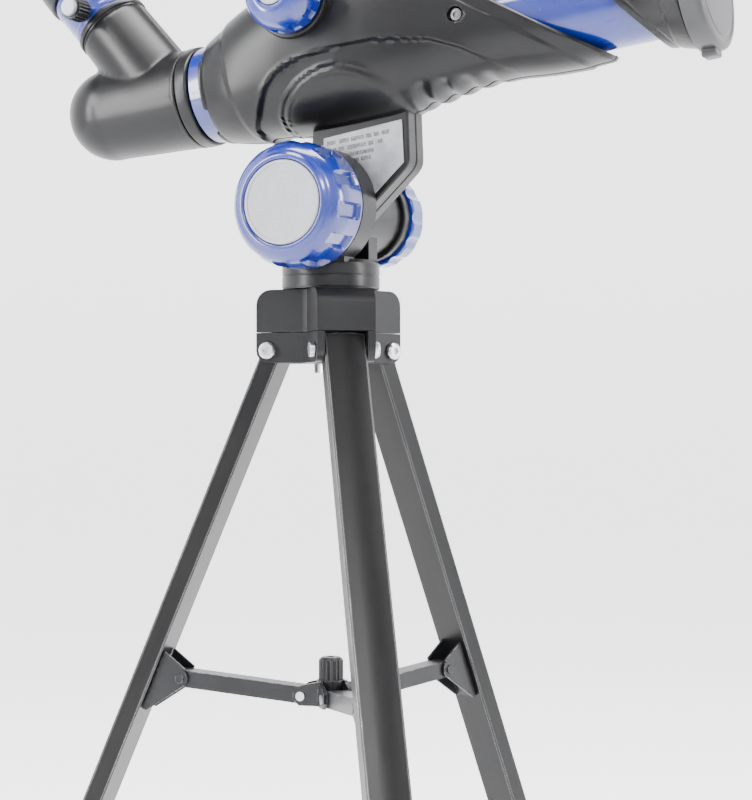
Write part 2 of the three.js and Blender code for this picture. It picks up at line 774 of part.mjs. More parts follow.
function housing() {
  let body = lofted(STATIONS);
  // boss for the focus shaft on the near side
  const boss = turned(
    [
      [0, 12],
      [FOCUS_R + 3.3, 12],
      [FOCUS_R + 3.3, BOSS_FACE - 8.8],
      [FOCUS_R + 1.3, BOSS_FACE],
      [0, BOSS_FACE],
    ],
    36,
  );
  body = body.add(shift(aboutX(boss, 90), FOCUS_U, 0, FOCUS_V));
  body = body.subtract(aheadOfCut(0));
  const w = SHELL_WALL;
  const inset = STATIONS.filter(([u]) => u > STATIONS[0][0] + REAR_LIP).map(([u, lo, hi, b]) => [
    u,
    lo + w,
    hi - w,
    b - w,
  ]);
  const [u0, lo0, hi0, b0] = inset[0];
  inset[0] = [STATIONS[0][0] + REAR_LIP, lo0, hi0, b0];
  const last = inset[inset.length - 1];
  inset[inset.length - 1] = [last[0] - 3, last[1], last[2], last[3]];
  let cavity = lofted(inset).subtract(aheadOfCut(FRONT_WALL));
  cavity = cavity.subtract(
    block(BULKHEAD_U, BULKHEAD_U + BULKHEAD_T, -80, 80, -80, 80),
  );
  let s = body.subtract(cavity);
  // keel: a thick plate down to a round boss on the altitude axis
  const k = KEEL_T / 2;
  s = s.add(slab(keelOutline(0), -k, k).subtract(cavity));
  s = s.add(shift(rodY(BOSS_R, -k, k, 40), -FORWARD, 0, -AXIS_OVER_PIVOT));
  // pillars for the two shell screws
  for (const [u, v] of SCREWS) s = s.add(shift(rodY(4.6, -TUBE_R - 5.5, TUBE_R + 5.5, 16), u, 0, v));
  s = s.subtract(rodX(TUBE_R + GAP, BULKHEAD_U - 3, 200, 40));
  s = s.subtract(rodX(DRAW_R + RUN, -70, BULKHEAD_U - 2, 40));
  s = s.subtract(shift(rodY(FOCUS_SHAFT_R + RUN, -60, 0), FOCUS_U, 0, FOCUS_V));
  s = s.subtract(shift(rodY(ALT_BORE, -30, 30), -FORWARD, 0, -AXIS_OVER_PIVOT));
  // keel pocket, open on the joint face
  const pocket = [
    [-4, 26 - AXIS_OVER_PIVOT],
    [-5.5, -TUBE_R - 16.5],
    [41, -TUBE_R - 16.5],
    [39.5, 17.5 - AXIS_OVER_PIVOT],
    [25, 10 - AXIS_OVER_PIVOT],
    [19, 20 - AXIS_OVER_PIVOT],
  ];
  s = s.subtract(slab(pocket, -k + 2.6, k - 2.6));
  for (const [u, v] of SCREWS) {
    s = s.subtract(shift(rodY(SCREW_HEAD_R + 0.4, -60, -SCREW_SEAT, 16), u, 0, v));
    s = s.subtract(shift(rodY(SCREW_SHANK_R + GAP, -SCREW_SEAT - 1, 9, 12), u, 0, v));
  }
  s = s.subtract(shift(rodY(SCREW_HEAD_R + 0.6, -60, -TUBE_R - 5.9, 16), GRUB_U, 0, GRUB_V));
  return s.subtract(shift(rodY(SCREW_SHANK_R + GAP, -40, -15, 12), GRUB_U, 0, GRUB_V));
}

function shells() {
  const whole = housing();
  const near = whole.subtract(block(-200, 300, -GAP / 2, 90, -200, 200));
  const far = whole.subtract(block(-200, 300, -90, GAP / 2, -200, 200));
  return [near, far];
}

function shellScrew() {
  const z = SCREW_SEAT - GAP;
  const s = turned(
    [
      [0, -8],
      [SCREW_SHANK_R, -8],
      [SCREW_SHANK_R, z + 0.2],
      [SCREW_HEAD_R, z + GAP + 0.4],
      [SCREW_HEAD_R, z + 2],
      [1.2, z + 2.4],
      [1.2, z + 1.2],
      [0, z + 1.2],
    ],
    14,
  );
  return aboutX(s, 90);
}

function tubeScrew() {
  const s = turned(
    [
      [0, TUBE_R - 2.9],
      [SCREW_SHANK_R, TUBE_R - 2.9],
      [SCREW_SHANK_R, TUBE_R + 6.2],
      [SCREW_HEAD_R, TUBE_R + 6.2],
      [SCREW_HEAD_R, TUBE_R + 7.4],
      [1.4, TUBE_R + 7.7],
      [1.4, TUBE_R + 6.8],
      [0, TUBE_R + 6.8],
    ],
    14,
  );
  return aboutX(s, 90);
}

function labelPlate() {
  const k = KEEL_T / 2;
  const outline = [
    [-4, -TUBE_R - 16.5],
    [41.8, -TUBE_R - 14.9],
    [40.2, 16.5 - AXIS_OVER_PIVOT],
    [21, 2.6 - AXIS_OVER_PIVOT],
    [-7, 15 - AXIS_OVER_PIVOT],
  ];
  const s = slab(outline, -k - GAP - 0.5, -k - GAP);
  return s;
}

function mainTube() {
  const s = alongX(tube(TUBE_R - TUBE_WALL, TUBE_R, TUBE_REAR, TUBE_FRONT, 40));
  return s.subtract(shift(rodY(SCREW_SHANK_R + GAP, -30, -12, 12), GRUB_U, 0, GRUB_V));
}

function objectiveCell() {
  const f = TUBE_FRONT + GAP;
  const bore = TUBE_R - TUBE_WALL - 1.9;
  return alongX(
    turned(
      [
        [bore, f - 6],
        [TUBE_R - TUBE_WALL - GAP, f - 6],
        [TUBE_R - TUBE_WALL - GAP, f],
        [CELL_R, f],
        [CELL_R, f + CELL_L],
        [LENS_R + GAP, f + CELL_L],
        [LENS_R + GAP, f + 1.6],
        [bore, f + 1.6],
      ],
      40,
    ),
  );
}

function objectiveLens() {
  const f = TUBE_FRONT + 2 * GAP + 1.7;
  return alongX(
    turned(
      [
        [0, f],
        [LENS_R, f],
        [LENS_R, f + 3.4],
        [LENS_R * 0.75, f + 4.3],
        [LENS_R * 0.4, f + 5],
        [0, f + 5.2],
      ],
      40,
    ),
  );
}

const SHIELD_CUT_U = 162; // slanted rear edge of the dew shield
const SHIELD_CUT_ANGLE = 51.3;
function dewShield() {
  const f = SHIELD_FRONT;
  const r = CELL_R + GAP;
  let s = alongX(
    turned(
      [
        [TUBE_R + GAP, 136],
        [TUBE_R + 4.7, 136],
        [r + SHIELD_WALL, f - 14],
        [SHIELD_R - 1.1, f - 5.5],
        [SHIELD_R, f - 1],
        [SHIELD_R, f],
        [SHIELD_R - 2.2, f],
        [SHIELD_R - 2.6, f - 4.6],
        [r, TUBE_FRONT + CELL_L + 1],
        [r, TUBE_FRONT - 0.4],
        [TUBE_R + GAP, TUBE_FRONT - 0.4],
      ],
      40,
    ),
  );
  const n = SHIELD_CUT_ANGLE;
  const behind = shift(aboutY(block(-200, 0, -60, 60, -200, 200), n - 90), SHIELD_CUT_U, 0, 0);
  return s.subtract(behind);
}

function dustCap() {
  const b = SHIELD_FRONT + GAP;
  const f = b + CAP_L;
  const r = SHIELD_R - 2.6 - RUN;
  let s = alongX(
    turned(
      [
        [0, f - 2.6],
        [r - 1.9, f - 2.6],
        [r - 1.9, b - 4],
        [r, b - 4],
        [r, b],
        [CAP_R - 1, b],
        [CAP_R, f - 3],
        [CAP_R - 1.2, f - 0.8],
        [CAP_R - 4, f],
        [0, f],
      ],
      44,
    ),
  );
  return s.add(block(b + 1, f - 2.2, -5.5, 5.5, -CAP_R - 2.6, -CAP_R + 3));
}

const [near, far] = shells();
piece("shell_near", near, BLACK, scope);
piece("shell_far", far, BLACK, scope);
piece("label_plate", labelPlate(), LABEL, scope);
SCREWS.forEach(([u, v], i) =>
  piece("shell_screw_" + (i + 1), shellScrew(), STEEL, group(scope, u, 0, v)),
);
piece("tube_screw", tubeScrew(), STEEL, group(scope, GRUB_U, 0, GRUB_V));
piece("main_tube", mainTube(), BLUE, scope);
piece("objective_cell", objectiveCell(), BLACK, scope);
piece("objective_lens", objectiveLens(), GLASS, scope);
piece("dew_shield", dewShield(), BLACK, scope);
piece("dust_cap", dustCap(), SATIN, scope);

// ---------------------------------------------------------------- focus drive
const PITCH_R = (GEAR_M * GEAR_TEETH) / 2;
const RACK_V = FOCUS_V - PITCH_R; // pitch line of the rack
const RACK_BASE = RACK_V - 1.9;
const RACK_REAR = -8;
const RACK_FRONT = 23;

function focusKnob() {
  const b = BOSS_FACE + GAP;
  const f = b + FOCUS_L;
  let s = aboutX(
    turned(
      [
        [0, f - 4],
        [FOCUS_SHAFT_R + GAP, f - 4],
        [FOCUS_SHAFT_R + GAP, b],
        [FOCUS_R - 1, b],
        [FOCUS_R, b + 1],
        [FOCUS_R, b + 9],
        [FOCUS_R - 1.4, b + 13.5],
        [FOCUS_R - 4, b + 17.4],
        [FOCUS_R - 7.6, f - 0.4],
        [10.5, f],
        [8.6, f],
        [8.6, f - 1.4],
        [0, f - 1.4],
      ],
      36,
    ),
    90,
  );
  const notch = block(FOCUS_R - 1.2, FOCUS_R + 4, -b - 10, -b - 2.4, -2.1, 2.1);
  for (let i = 0; i < KNOB_NOTCHES; i++)
    s = s.subtract(aboutY(notch, ((i + 0.5) * 360) / KNOB_NOTCHES));
  return s;
}

// trapezoid teeth, thinned for backlash
function pinionTeeth() {
  const ra = PITCH_R + GEAR_M * 0.8;
  const rf = PITCH_R - GEAR_M * 1.2;
  const half = [2.05, 1.15, 0.5].map((k) => (k * GEAR_M) / 2);
  const tooth = plate(
    [
      [rf - 0.8, -half[0]],
      [rf + 0.1, -half[0]],
      [PITCH_R, -half[1]],
      [ra, -half[2]],
      [ra, half[2]],
      [PITCH_R, half[1]],
      [rf + 0.1, half[0]],
      [rf - 0.8, half[0]],
    ],
    -GEAR_W / 2,
    GEAR_W / 2,
  );
  let s = rod(rf, -GEAR_W / 2, GEAR_W / 2, 20);
  for (let i = 0; i < GEAR_TEETH; i++)
    s = s.add(aboutZ(tooth, ((i + 0.5) * 360) / GEAR_TEETH + 90));
  return s;
}

function focusShaft() {
  const s = rodY(FOCUS_SHAFT_R, -BOSS_FACE - FOCUS_L + 5, GEAR_W / 2 + 3);
  return s.add(aboutX(pinionTeeth(), 90));
}

function rack() {
  const top = RACK_V + GEAR_M * 0.8;
  const root = RACK_V - GEAR_M * 1.2;
  const pitch = Math.PI * GEAR_M;
  const points = [
    [RACK_REAR, RACK_BASE],
    [RACK_FRONT, RACK_BASE],
    [RACK_FRONT, root],
  ];
  const teeth = Math.floor((RACK_FRONT - RACK_REAR) / 2 / pitch) + 3;
  for (let i = teeth; i >= -teeth; i--) {
    const u = FOCUS_U + i * pitch;
    if (u - 1.1 < RACK_REAR || u + 1.1 > RACK_FRONT) continue;
    points.push([u + 0.85, root], [u + 0.25, top], [u - 0.25, top], [u - 0.85, root]);
  }
  points.push([RACK_REAR, root]);
  return slab(points, -GEAR_W / 2, GEAR_W / 2);
}

function drawTube() {
  const s = alongX(tube(DRAW_R - DRAW_WALL, DRAW_R, DRAW_REAR, DRAW_FRONT, 40));
  const w = GEAR_W / 2 + GAP;
  const seat = RACK_BASE - GAP;
  return s.subtract(block(RACK_REAR - GAP, RACK_FRONT + GAP, -w, w, seat, seat + 9));
}

const focusAxis = group(scope, FOCUS_U, 0, FOCUS_V);
piece("focus_knob", focusKnob(), BLUE, focusAxis);
const focusFace = BOSS_FACE + GAP + FOCUS_L;
piece("focus_knob_disc", disc(8, focusFace - 1.1, focusFace - 0.1, -1), SILVER, focusAxis);
piece("focus_pinion_shaft", focusShaft(), STEEL, focusAxis);
piece("focus_rack", rack(), BRASS, scope);
piece("draw_tube", drawTube(), BLUE, scope);

// ---------------------------------------------------------------- diagonal
const FOLD = [-Math.sin(FOLD_ANGLE * DEG), Math.cos(FOLD_ANGLE * DEG)];
const SEAM_U = FOLD_U + FOLD[0] * ARM_TUBE_L;
const SEAM_V = FOLD[1] * ARM_TUBE_L;
const ELBOW_FRONT = DRAW_REAR - GAP - COLLAR_FLANGE_L - GAP;
const ARM_BORE = ARM_TUBE_R - 2.4;

function diagonalCollar() {
  const f = DRAW_REAR - GAP;
  const b = f - COLLAR_FLANGE_L;
  const r = DRAW_R - DRAW_WALL - RUN;
  return alongX(
    turned(
      [
        [r - 2.4, b],
        [COLLAR_FLANGE_R, b],
        [COLLAR_FLANGE_R, f],
        [r, f],
        [r, f + 18],
        [r - 2.4, f + 18],
      ],
      40,
    ),
  );
}

// a Z solid moved onto the upper arm's axis, s measured from the top seam
const ontoArm = (s) => shift(aboutY(s, -FOLD_ANGLE), SEAM_U, 0, SEAM_V);

function diagonalBody() {
  const bulb = [];
  for (let i = 0; i <= 9; i++)
    for (let k = 0; k < 18; k++) {
      const a = (i * Math.PI) / 9;
      const t = (k * Math.PI) / 9;
      bulb.push(
        new THREE.Vector3(
          BULB_U + BULB_R * Math.cos(a),
          BULB_R * Math.sin(a) * Math.cos(t),
          BULB_V + BULB_R * Math.sin(a) * Math.sin(t),
        ),
      );
    }
  const ring = (r, place) =>
    Array.from({ length: 24 }, (_, k) => {
      const t = (k * Math.PI) / 12;
      return place(r * Math.cos(t), r * Math.sin(t));
    });
  const front = ring(ELBOW_R, (y, z) => new THREE.Vector3(ELBOW_FRONT, y, z));
  const tilt = new THREE.Matrix4().makeRotationY(-FOLD_ANGLE * DEG);
  const top = ring(ARM_TUBE_R, (x, y) =>
    new THREE.Vector3(x, y, -0.2).applyMatrix4(tilt).add(new THREE.Vector3(SEAM_U, 0, SEAM_V)),
  );
  let s = hull([...bulb, ...front]).add(hull([...bulb, ...top]));
  s = s.add(ontoArm(rod(ARM_TUBE_R, -ARM_TUBE_L, -0.2, 36)));
  // groove and end ring over the seam
  s = s.add(ontoArm(rod(ARM_TUBE_R - 0.8, -2, 1, 36)));
  s = s.add(ontoArm(rod(ARM_TUBE_R + 0.2, 0.8, 4.2, 36)));
  s = s.subtract(block(ELBOW_FRONT, 0, -60, 60, -60, 60));
  // the light path: two bores that meet at the mirror
  const bores = rodX(ELBOW_R - 6.4, FOLD_U - 40, ELBOW_FRONT + 2, 32).add(
    ontoArm(rod(ARM_BORE, -ARM_TUBE_L - 20, 6, 32)),
  );
  const m = (90 + FOLD_ANGLE) / 2; // the mirror's normal over +X
  const behind = shift(
    aboutY(block(-200, -3.6, -60, 60, -200, 200), -m),
    FOLD_U,
    0,
    0,
  );
  return s.subtract(bores.subtract(behind));
}

function diagonalMirror() {
  const m = (90 + FOLD_ANGLE) / 2;
  const x = -3.6 + GAP;
  return shift(aboutY(block(x, -0.3, -14, 14, -15, 17), -m), FOLD_U, 0, 0);
}

// Eyepiece frame: origin at the top seam, +Z out along the upper arm.
const HOLDER_S = 4.5;
const HOLDER_TOP = HOLDER_S + HOLDER_L;
const BARREL_TOP = HOLDER_TOP + 8;
function eyepieceHolder() {
  const s = turned(
    [
      [BARREL_R + RUN, -9],
      [ARM_BORE - GAP, -9],
      [ARM_BORE - GAP, HOLDER_S],
      [HOLDER_R, HOLDER_S],
      [HOLDER_R, HOLDER_TOP - 1],
      [HOLDER_R - 1, HOLDER_TOP],
      [BARREL_R + RUN, HOLDER_TOP],
    ],
    36,
  );
  return s.subtract(shift(rodY(2.4, -40, 0, 16), 0, 0, SET_SCREW_S));
}

function setScrew() {
  let s = turned(
    [
      [0, BARREL_R + 0.5],
      [2, BARREL_R + 0.5],
      [2, HOLDER_R + 0.6],
      [4.4, HOLDER_R + 0.6],
      [5, HOLDER_R + 3.4],
      [6.5, HOLDER_R + 4.2],
      [6.5, HOLDER_R + 13.4],
      [6, HOLDER_R + 14.2],
      [0, HOLDER_R + 14.2],
    ],
    28,
  );
  return aboutX(s, 90);
}

function eyepieceBarrel() {
  return turned(
    [
      [BARREL_R - 1.2, -6],
      [BARREL_R, -6],
      [BARREL_R, BARREL_TOP],
      [BARREL_R - 1.2, BARREL_TOP],
    ],
    36,
  );
}

function eyepieceBody() {
  return turned(
    [
      [BARREL_R + GAP, HOLDER_TOP + GAP],
      [EYE_R, HOLDER_TOP + GAP],
      [EYE_R, HOLDER_TOP + 13],
      [EYE_R - 2.6, HOLDER_TOP + 20],
      [12.4, HOLDER_TOP + 20],
      [12.4, HOLDER_TOP + 14],
      [11, HOLDER_TOP + 14],
      [11, BARREL_TOP + 2.5],
      [BARREL_R - 1.2, BARREL_TOP + GAP],
      [BARREL_R + GAP, BARREL_TOP + GAP],
    ],
    36,
  );
}

function eyeLens() {
  const s = HOLDER_TOP + 14 + GAP;
  return turned(
    [
      [0, s],
      [12, s],
      [12, s + 2],
      [6, s + 3],
      [0, s + 3.3],
    ],
    28,
  );
}

function eyecup() {
  const s = HOLDER_TOP + 20 + GAP;
  return turned(
    [
      [12.4, s],
      [EYE_R - 2.8, s],
      [EYE_R - 2.2, s + 4],
      [EYE_R - 3.4, s + 12],
      [EYE_R - 5.2, s + 12],
      [12.8, s + 3],
    ],
    32,
  );
}

piece("diagonal_collar", diagonalCollar(), BLACK, scope);
piece("diagonal_body", diagonalBody(), BLACK, scope);
piece("diagonal_mirror", diagonalMirror(), GLASS, scope);
const eye = group(scope, SEAM_U, 0, SEAM_V);
eye.rotation.y = -FOLD_ANGLE * DEG;
piece("eyepiece_holder", eyepieceHolder(), BLUE, eye);
const screwAxis = group(eye, 0, 0, SET_SCREW_S);
piece("set_screw", setScrew(), BLACK, screwAxis);
piece("set_screw_tip", disc(4.8, HOLDER_R + 14.5, HOLDER_R + 17, -1), SILVER, screwAxis);
piece("eyepiece_barrel", eyepieceBarrel(), BLACK, eye);
piece("eyepiece_body", eyepieceBody(), BLACK, eye);
piece("eye_lens", eyeLens(), GLASS, eye);
piece("eyecup", eyecup(), RUBBER, eye);

// ---------------------------------------------------------------- origin
model.updateMatrixWorld(true);
const box = new THREE.Box3().setFromObject(model, true);
model.position.set(-(box.min.x + box.max.x) / 2, -(box.min.y + box.max.y) / 2, -box.min.z);
const object = new THREE.Group();
object.add(model);

export default object;
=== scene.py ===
"""A beginner's refractor telescope on its three-leg tripod.

Finishes, fine surfaces, light and camera around the CAD frame. Lengths are in
millimetres in each part's own frame, and in metres once a part is placed.
"""

import math

import bmesh
import bpy
import json
import numpy as np
from mathutils import Matrix, Vector


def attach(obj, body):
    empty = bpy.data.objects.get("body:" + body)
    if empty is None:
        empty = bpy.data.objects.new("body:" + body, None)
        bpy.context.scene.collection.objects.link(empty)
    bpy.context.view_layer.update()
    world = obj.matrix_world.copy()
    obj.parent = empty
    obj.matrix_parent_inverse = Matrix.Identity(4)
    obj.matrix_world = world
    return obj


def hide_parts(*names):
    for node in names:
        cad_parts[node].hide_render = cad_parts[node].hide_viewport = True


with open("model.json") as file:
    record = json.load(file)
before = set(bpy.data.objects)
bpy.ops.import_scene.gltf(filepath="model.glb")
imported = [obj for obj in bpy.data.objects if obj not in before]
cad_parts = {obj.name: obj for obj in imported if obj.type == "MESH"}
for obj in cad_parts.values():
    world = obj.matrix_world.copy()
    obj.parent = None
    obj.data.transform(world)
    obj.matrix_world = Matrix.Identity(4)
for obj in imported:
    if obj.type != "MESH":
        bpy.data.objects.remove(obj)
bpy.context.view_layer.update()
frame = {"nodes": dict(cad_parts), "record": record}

MM = 0.001
DEG = math.pi / 180
NODES = frame["nodes"]
JOINTS = {j["name"]: j for j in frame["record"]["behaviour"]["joints"]}


# ------------------------------------------------------------------ places
def axes_at(origin, x_axis, y_axis):
    """The matrix of a part's own frame: millimetres there, metres in the scene."""
    x = Vector(x_axis).normalized()
    y = Vector(y_axis).normalized()
    z = x.cross(y)
    m = Matrix((x, y, z)).transposed().to_4x4()
    return Matrix.Translation(Vector(origin)) @ m @ Matrix.Scale(MM, 4)


TILT = JOINTS["altitude_tilt"]
TUBE_AXIS = Vector(JOINTS["diagonal_turn"]["axis"])
# telescope frame: x along the tube to the objective, y to the far side, z up
SCOPE = axes_at(JOINTS["diagonal_turn"]["pos_m"], TUBE_AXIS, (0, 1, 0))
# altitude axis frame: y along the axis
PIVOT = axes_at(TILT["pos_m"], (1, 0, 0), (0, 1, 0))
PIVOT_TILTED = axes_at(TILT["pos_m"], TUBE_AXIS, (0, 1, 0))
FOCUS = axes_at(JOINTS["focus_knob_turn"]["pos_m"], TUBE_AXIS, (0, 1, 0))
EYE_AXIS = Vector(JOINTS["eyepiece_pull"]["axis"])
EYE_X = Vector((0, 1, 0)).cross(EYE_AXIS)
SCREW_UP = 9.6  # the set screw's place along the holder
SEAM = Vector(JOINTS["set_screw_turn"]["pos_m"]) - EYE_AXIS * SCREW_UP * MM
EYE = axes_at(SEAM, EYE_X, (0, 1, 0))
COLUMN = Vector(JOINTS["thumb_knob_turn"]["pos_m"])
LEGS = ("left", "front", "right")
LEAN = 23 * DEG


def leg_frame(name):
    """x outward, y across, z up along the leg, from its pivot."""
    pivot = Vector(JOINTS["leg_fold_" + name]["pos_m"])
    out = (pivot - COLUMN).to_2d().normalized()
    x = Vector((out.x * math.cos(LEAN), out.y * math.cos(LEAN), math.sin(LEAN)))
    return axes_at(pivot, x, (-out.y, out.x, 0))


LEG = {name: leg_frame(name) for name in LEGS}


def in_frame(node, m):
    """A CAD node's corners in a part's own frame, in millimetres."""
    me = NODES[node].data
    co = np.empty(len(me.vertices) * 3)
    me.vertices.foreach_get("co", co)
    co = co.reshape(-1, 3)
    inv = np.array(m.inverted())
    p = co @ inv[:3, :3].T + inv[:3, 3]
    return p.min(0), p.max(0)


# ------------------------------------------------------------------ shader maths
class Sock:
    """A node's output, with the arithmetic that the finishes use."""

    def __init__(self, tree, out):
        self.tree, self.out = tree, out

    def _math(self, op, a, b=None):
        values = [a] if b is None else [a, b]
        return self.tree.node("ShaderNodeMath", {"operation": op}, dict(enumerate(values)))

    def __add__(self, o):
        return self._math("ADD", self, o)

    def __radd__(self, o):
        return self._math("ADD", o, self)

    def __sub__(self, o):
        return self._math("SUBTRACT", self, o)

    def __rsub__(self, o):
        return self._math("SUBTRACT", o, self)

    def __mul__(self, o):
        return self._math("MULTIPLY", self, o)

    def __rmul__(self, o):
        return self._math("MULTIPLY", o, self)

    def __pow__(self, o):
        return self._math("POWER", self, o)

    def __gt__(self, o):
        return self._math("GREATER_THAN", self, o)

    def __lt__(self, o):
        return self._math("LESS_THAN", self, o)

    def abs(self):
        return self._math("ABSOLUTE", self)

    def ramp(self, lo, hi, to_lo=0.0, to_hi=1.0):
        return self.tree.node(
            "ShaderNodeMapRange",
            {"interpolation_type": "SMOOTHSTEP"},
            {"Value": self, "From Min": lo, "From Max": hi, "To Min": to_lo, "To Max": to_hi},
        )


class Finish:
    """A material's node tree around one Principled BSDF."""

    def __init__(self, name, **fixed):
        self.mat = bpy.data.materials.new(name)
        self.mat.use_nodes = True
        self.nt = self.mat.node_tree
        self.bsdf = self.nt.nodes["Principled BSDF"]
        for k, v in fixed.items():
            self.bsdf.inputs[k.replace("_", " ")].default_value = v

    def node(self, kind, settings=None, inputs=None, out=0):
        n = self.nt.nodes.new(kind)
        for k, v in (settings or {}).items():
            if k == "stops":
                ramp = n.color_ramp.elements
                while len(ramp) < len(v):
                    ramp.new(0.5)
                for el, (pos, colour) in zip(ramp, v):
                    el.position, el.color = pos, (*colour, 1)
            else:
                setattr(n, k, v)
        for k, v in (inputs or {}).items():
            if isinstance(v, Sock):
                self.nt.links.new(v.out, n.inputs[k])
            else:
                n.inputs[k].default_value = v
        return Sock(self, n.outputs[out])

    def place(self, m=None):
        """Object coordinates, in a part's own frame in millimetres if one is given."""
        p = self.node("ShaderNodeTexCoord", out="Object")
        if m is None:
            return p
        inv = m.inverted()
        loc, rot, scale = inv.decompose()
        return self.node(
            "ShaderNodeMapping",
            {"vector_type": "POINT"},
            {"Vector": p, "Location": loc, "Rotation": rot.to_euler(), "Scale": scale},
        )

    def parts(self, vector):
        n = self.nt.nodes.new("ShaderNodeSeparateXYZ")
        self.nt.links.new(vector.out, n.inputs[0])
        return [Sock(self, o) for o in n.outputs]

    def join(self, x, y, z):
        return self.node("ShaderNodeCombineXYZ", None, {0: x, 1: y, 2: z})

    def noise(self, p, scale, detail=3, rough=0.5, out=0):
        return self.node(
            "ShaderNodeTexNoise",
            None,
            {"Vector": p, "Scale": scale, "Detail": detail, "Roughness": rough},
            out,
        )

    def mix(self, f, a, b):
        """Between two colours."""
        a = (*a, 1) if isinstance(a, tuple) else a
        b = (*b, 1) if isinstance(b, tuple) else b
        return self.node(
            "ShaderNodeMix", {"data_type": "RGBA"}, {0: f, 6: a, 7: b}, 2
        )

    def bump(self, height, depth, strength=1.0):
        """A height of 0 to 1 pressed in by depth, in millimetres."""
        n = self.node("ShaderNodeBump", None, {"Height": height, "Strength": strength,
                                               "Distance": depth * MM})
        self.nt.links.new(n.out, self.bsdf.inputs["Normal"])
        return n

    def feed(self, **links):
        for k, v in links.items():
            s = self.bsdf.inputs[k.replace("_", " ")]
            if isinstance(v, Sock):
                self.nt.links.new(v.out, s)
            else:
                s.default_value = v
        return self.mat


def scuffs(f, p, scale, stretch=(1, 1, 6)):
    """Fine hairline marks, 0 to 1."""
    q = f.node("ShaderNodeVectorMath", {"operation": "MULTIPLY"}, {0: p, 1: stretch})
    warp = f.noise(q, scale, 4, 0.65)
    return warp.ramp(0.62, 0.72)


def edge_wear_and_highlight(f, width=0.5):
    """1 on edges, from the angle between the bevelled and the true normal."""
    soft = f.node("ShaderNodeBevel", {"samples": 4}, {"Radius": width * MM})
    geo = f.node("ShaderNodeNewGeometry", out="Normal")
    dot = f.node("ShaderNodeVectorMath", {"operation": "DOT_PRODUCT"}, {0: soft, 1: geo}, "Value")
    return dot.ramp(0.995, 0.9)


# ------------------------------------------------------------------ finishes
def moulded_black(name, base=0.005, rough=0.34, grain=0.9, coat=0.25):
    """Black ABS: a fine spark-eroded grain under a soft shine, with handling marks."""
    f = Finish(name, Specular_IOR_Level=0.24, Coat_Roughness=0.3, IOR=1.5)
    p = f.place()
    cloud = f.noise(p, 18, 4)
    grit = f.noise(p, 2600, 2, 0.6)
    marks = scuffs(f, p, 60)
    deep = (base, base, base * 1.08)
    pale = (base * 1.7, base * 1.7, base * 1.85)
    tone = f.mix(cloud.ramp(0.3, 0.75), deep, pale)
    f.bump(grit, 0.02 * grain, 0.5)
    return f.feed(
        Base_Color=tone,
        Roughness=rough + cloud * 0.1 + marks * 0.12,
        Coat_Weight=coat * (1 - marks * 0.5),
    )


def glossy_blue(name):
    """Cobalt ABS with a wet gloss: faint flow waves and hairlines."""
    f = Finish(name, Specular_IOR_Level=0.55, Coat_Roughness=0.06, IOR=1.5)
    p = f.place()
    cloud = f.noise(p, 30, 3)
    marks = scuffs(f, p, 90, (1, 5, 1))
    dust = f.noise(p, 900, 2).ramp(0.7, 0.8)
    tone = f.mix(cloud.ramp(0.25, 0.8), (0.001, 0.010, 0.15), (0.002, 0.017, 0.21))
    f.bump(cloud, 0.12, 0.25)
    return f.feed(
        Base_Color=f.mix(dust * 0.2, tone, (0.06, 0.11, 0.45)),
        Roughness=0.2 + marks * 0.14 + cloud * 0.06,
        Coat_Weight=0.8 - marks * 0.3,
    )


def leg_metal(name, m):
    """Black anodised extrusion: die lines along the leg, with a painted highlight along its long
    edges.
    """
    f = Finish(name, Specular_IOR_Level=0.18, Coat_Roughness=0.35)
    p = f.place(m)
    x, y, z = f.parts(p)
    die = f.noise(f.join(x * 3.2, y * 3.2, z * 0.012), 1.0, 5, 0.7)
    cloud = f.noise(f.join(x * 0.08, y * 0.08, z * 0.02), 1.0, 3)
    # painted highlight: the edge mask, made patchy along the leg, paints every long edge bright
    # and metallic
    edge = edge_wear_and_highlight(f, 0.9)
    highlight_patchiness = f.noise(f.join(x * 0.5, y * 0.5, z * 0.06), 1.0, 4).ramp(0.35, 0.7)
    painted_edge_highlight = edge * (0.5 + highlight_patchiness * 0.5)
    tone = f.mix(cloud.ramp(0.3, 0.7), (0.0025, 0.0025, 0.0028), (0.006, 0.0057, 0.0057))
    f.bump(die, 0.03, 0.35)
    return f.feed(
        Base_Color=f.mix(painted_edge_highlight, tone, (0.34, 0.34, 0.35)),
        Metallic=painted_edge_highlight * 0.8,
        Roughness=0.27 + die * 0.12 - painted_edge_highlight * 0.08,
        Coat_Weight=0.15,
    )


def pressed_steel(name):
    """Semi-gloss black paint over pressed sheet: orange peel and chipped corners."""
    f = Finish(name, Specular_IOR_Level=0.25, Coat_Roughness=0.25)
    p = f.place()
    peel = f.noise(p, 700, 2, 0.4)
    cloud = f.noise(p, 40, 3)
    chips = edge_wear_and_highlight(f, 0.4) * f.noise(p, 350, 4, 0.7).ramp(0.48, 0.6)
    tone = f.mix(cloud.ramp(0.3, 0.7), (0.004, 0.0042, 0.0052), (0.008, 0.0082, 0.010))
    f.bump(peel, 0.05, 0.4)
    return f.feed(
        Base_Color=f.mix(chips, tone, (0.4, 0.4, 0.41)),
        Metallic=chips * 0.9,
        Roughness=0.36 + cloud * 0.1,
        Coat_Weight=0.3 - chips * 0.3,
    )


def bright_steel(name, tone=(0.62, 0.62, 0.64), rough=0.22):
    """Zinc-plated screws and bolts: crystalline mottling and darker, duller patches at random."""
    f = Finish(name, Metallic=1.0)
    p = f.place()
    spangle = f.noise(p, 900, 3, 0.6)
    stain = f.noise(p, 160, 4).ramp(0.45, 0.75)
    dark = tuple(c * 0.45 for c in tone)
    f.bump(spangle, 0.01, 0.4)
    return f.feed(
        Base_Color=f.mix(stain * 0.5, tone, dark),
        Roughness=rough + spangle * 0.16 + stain * 0.1,
    )


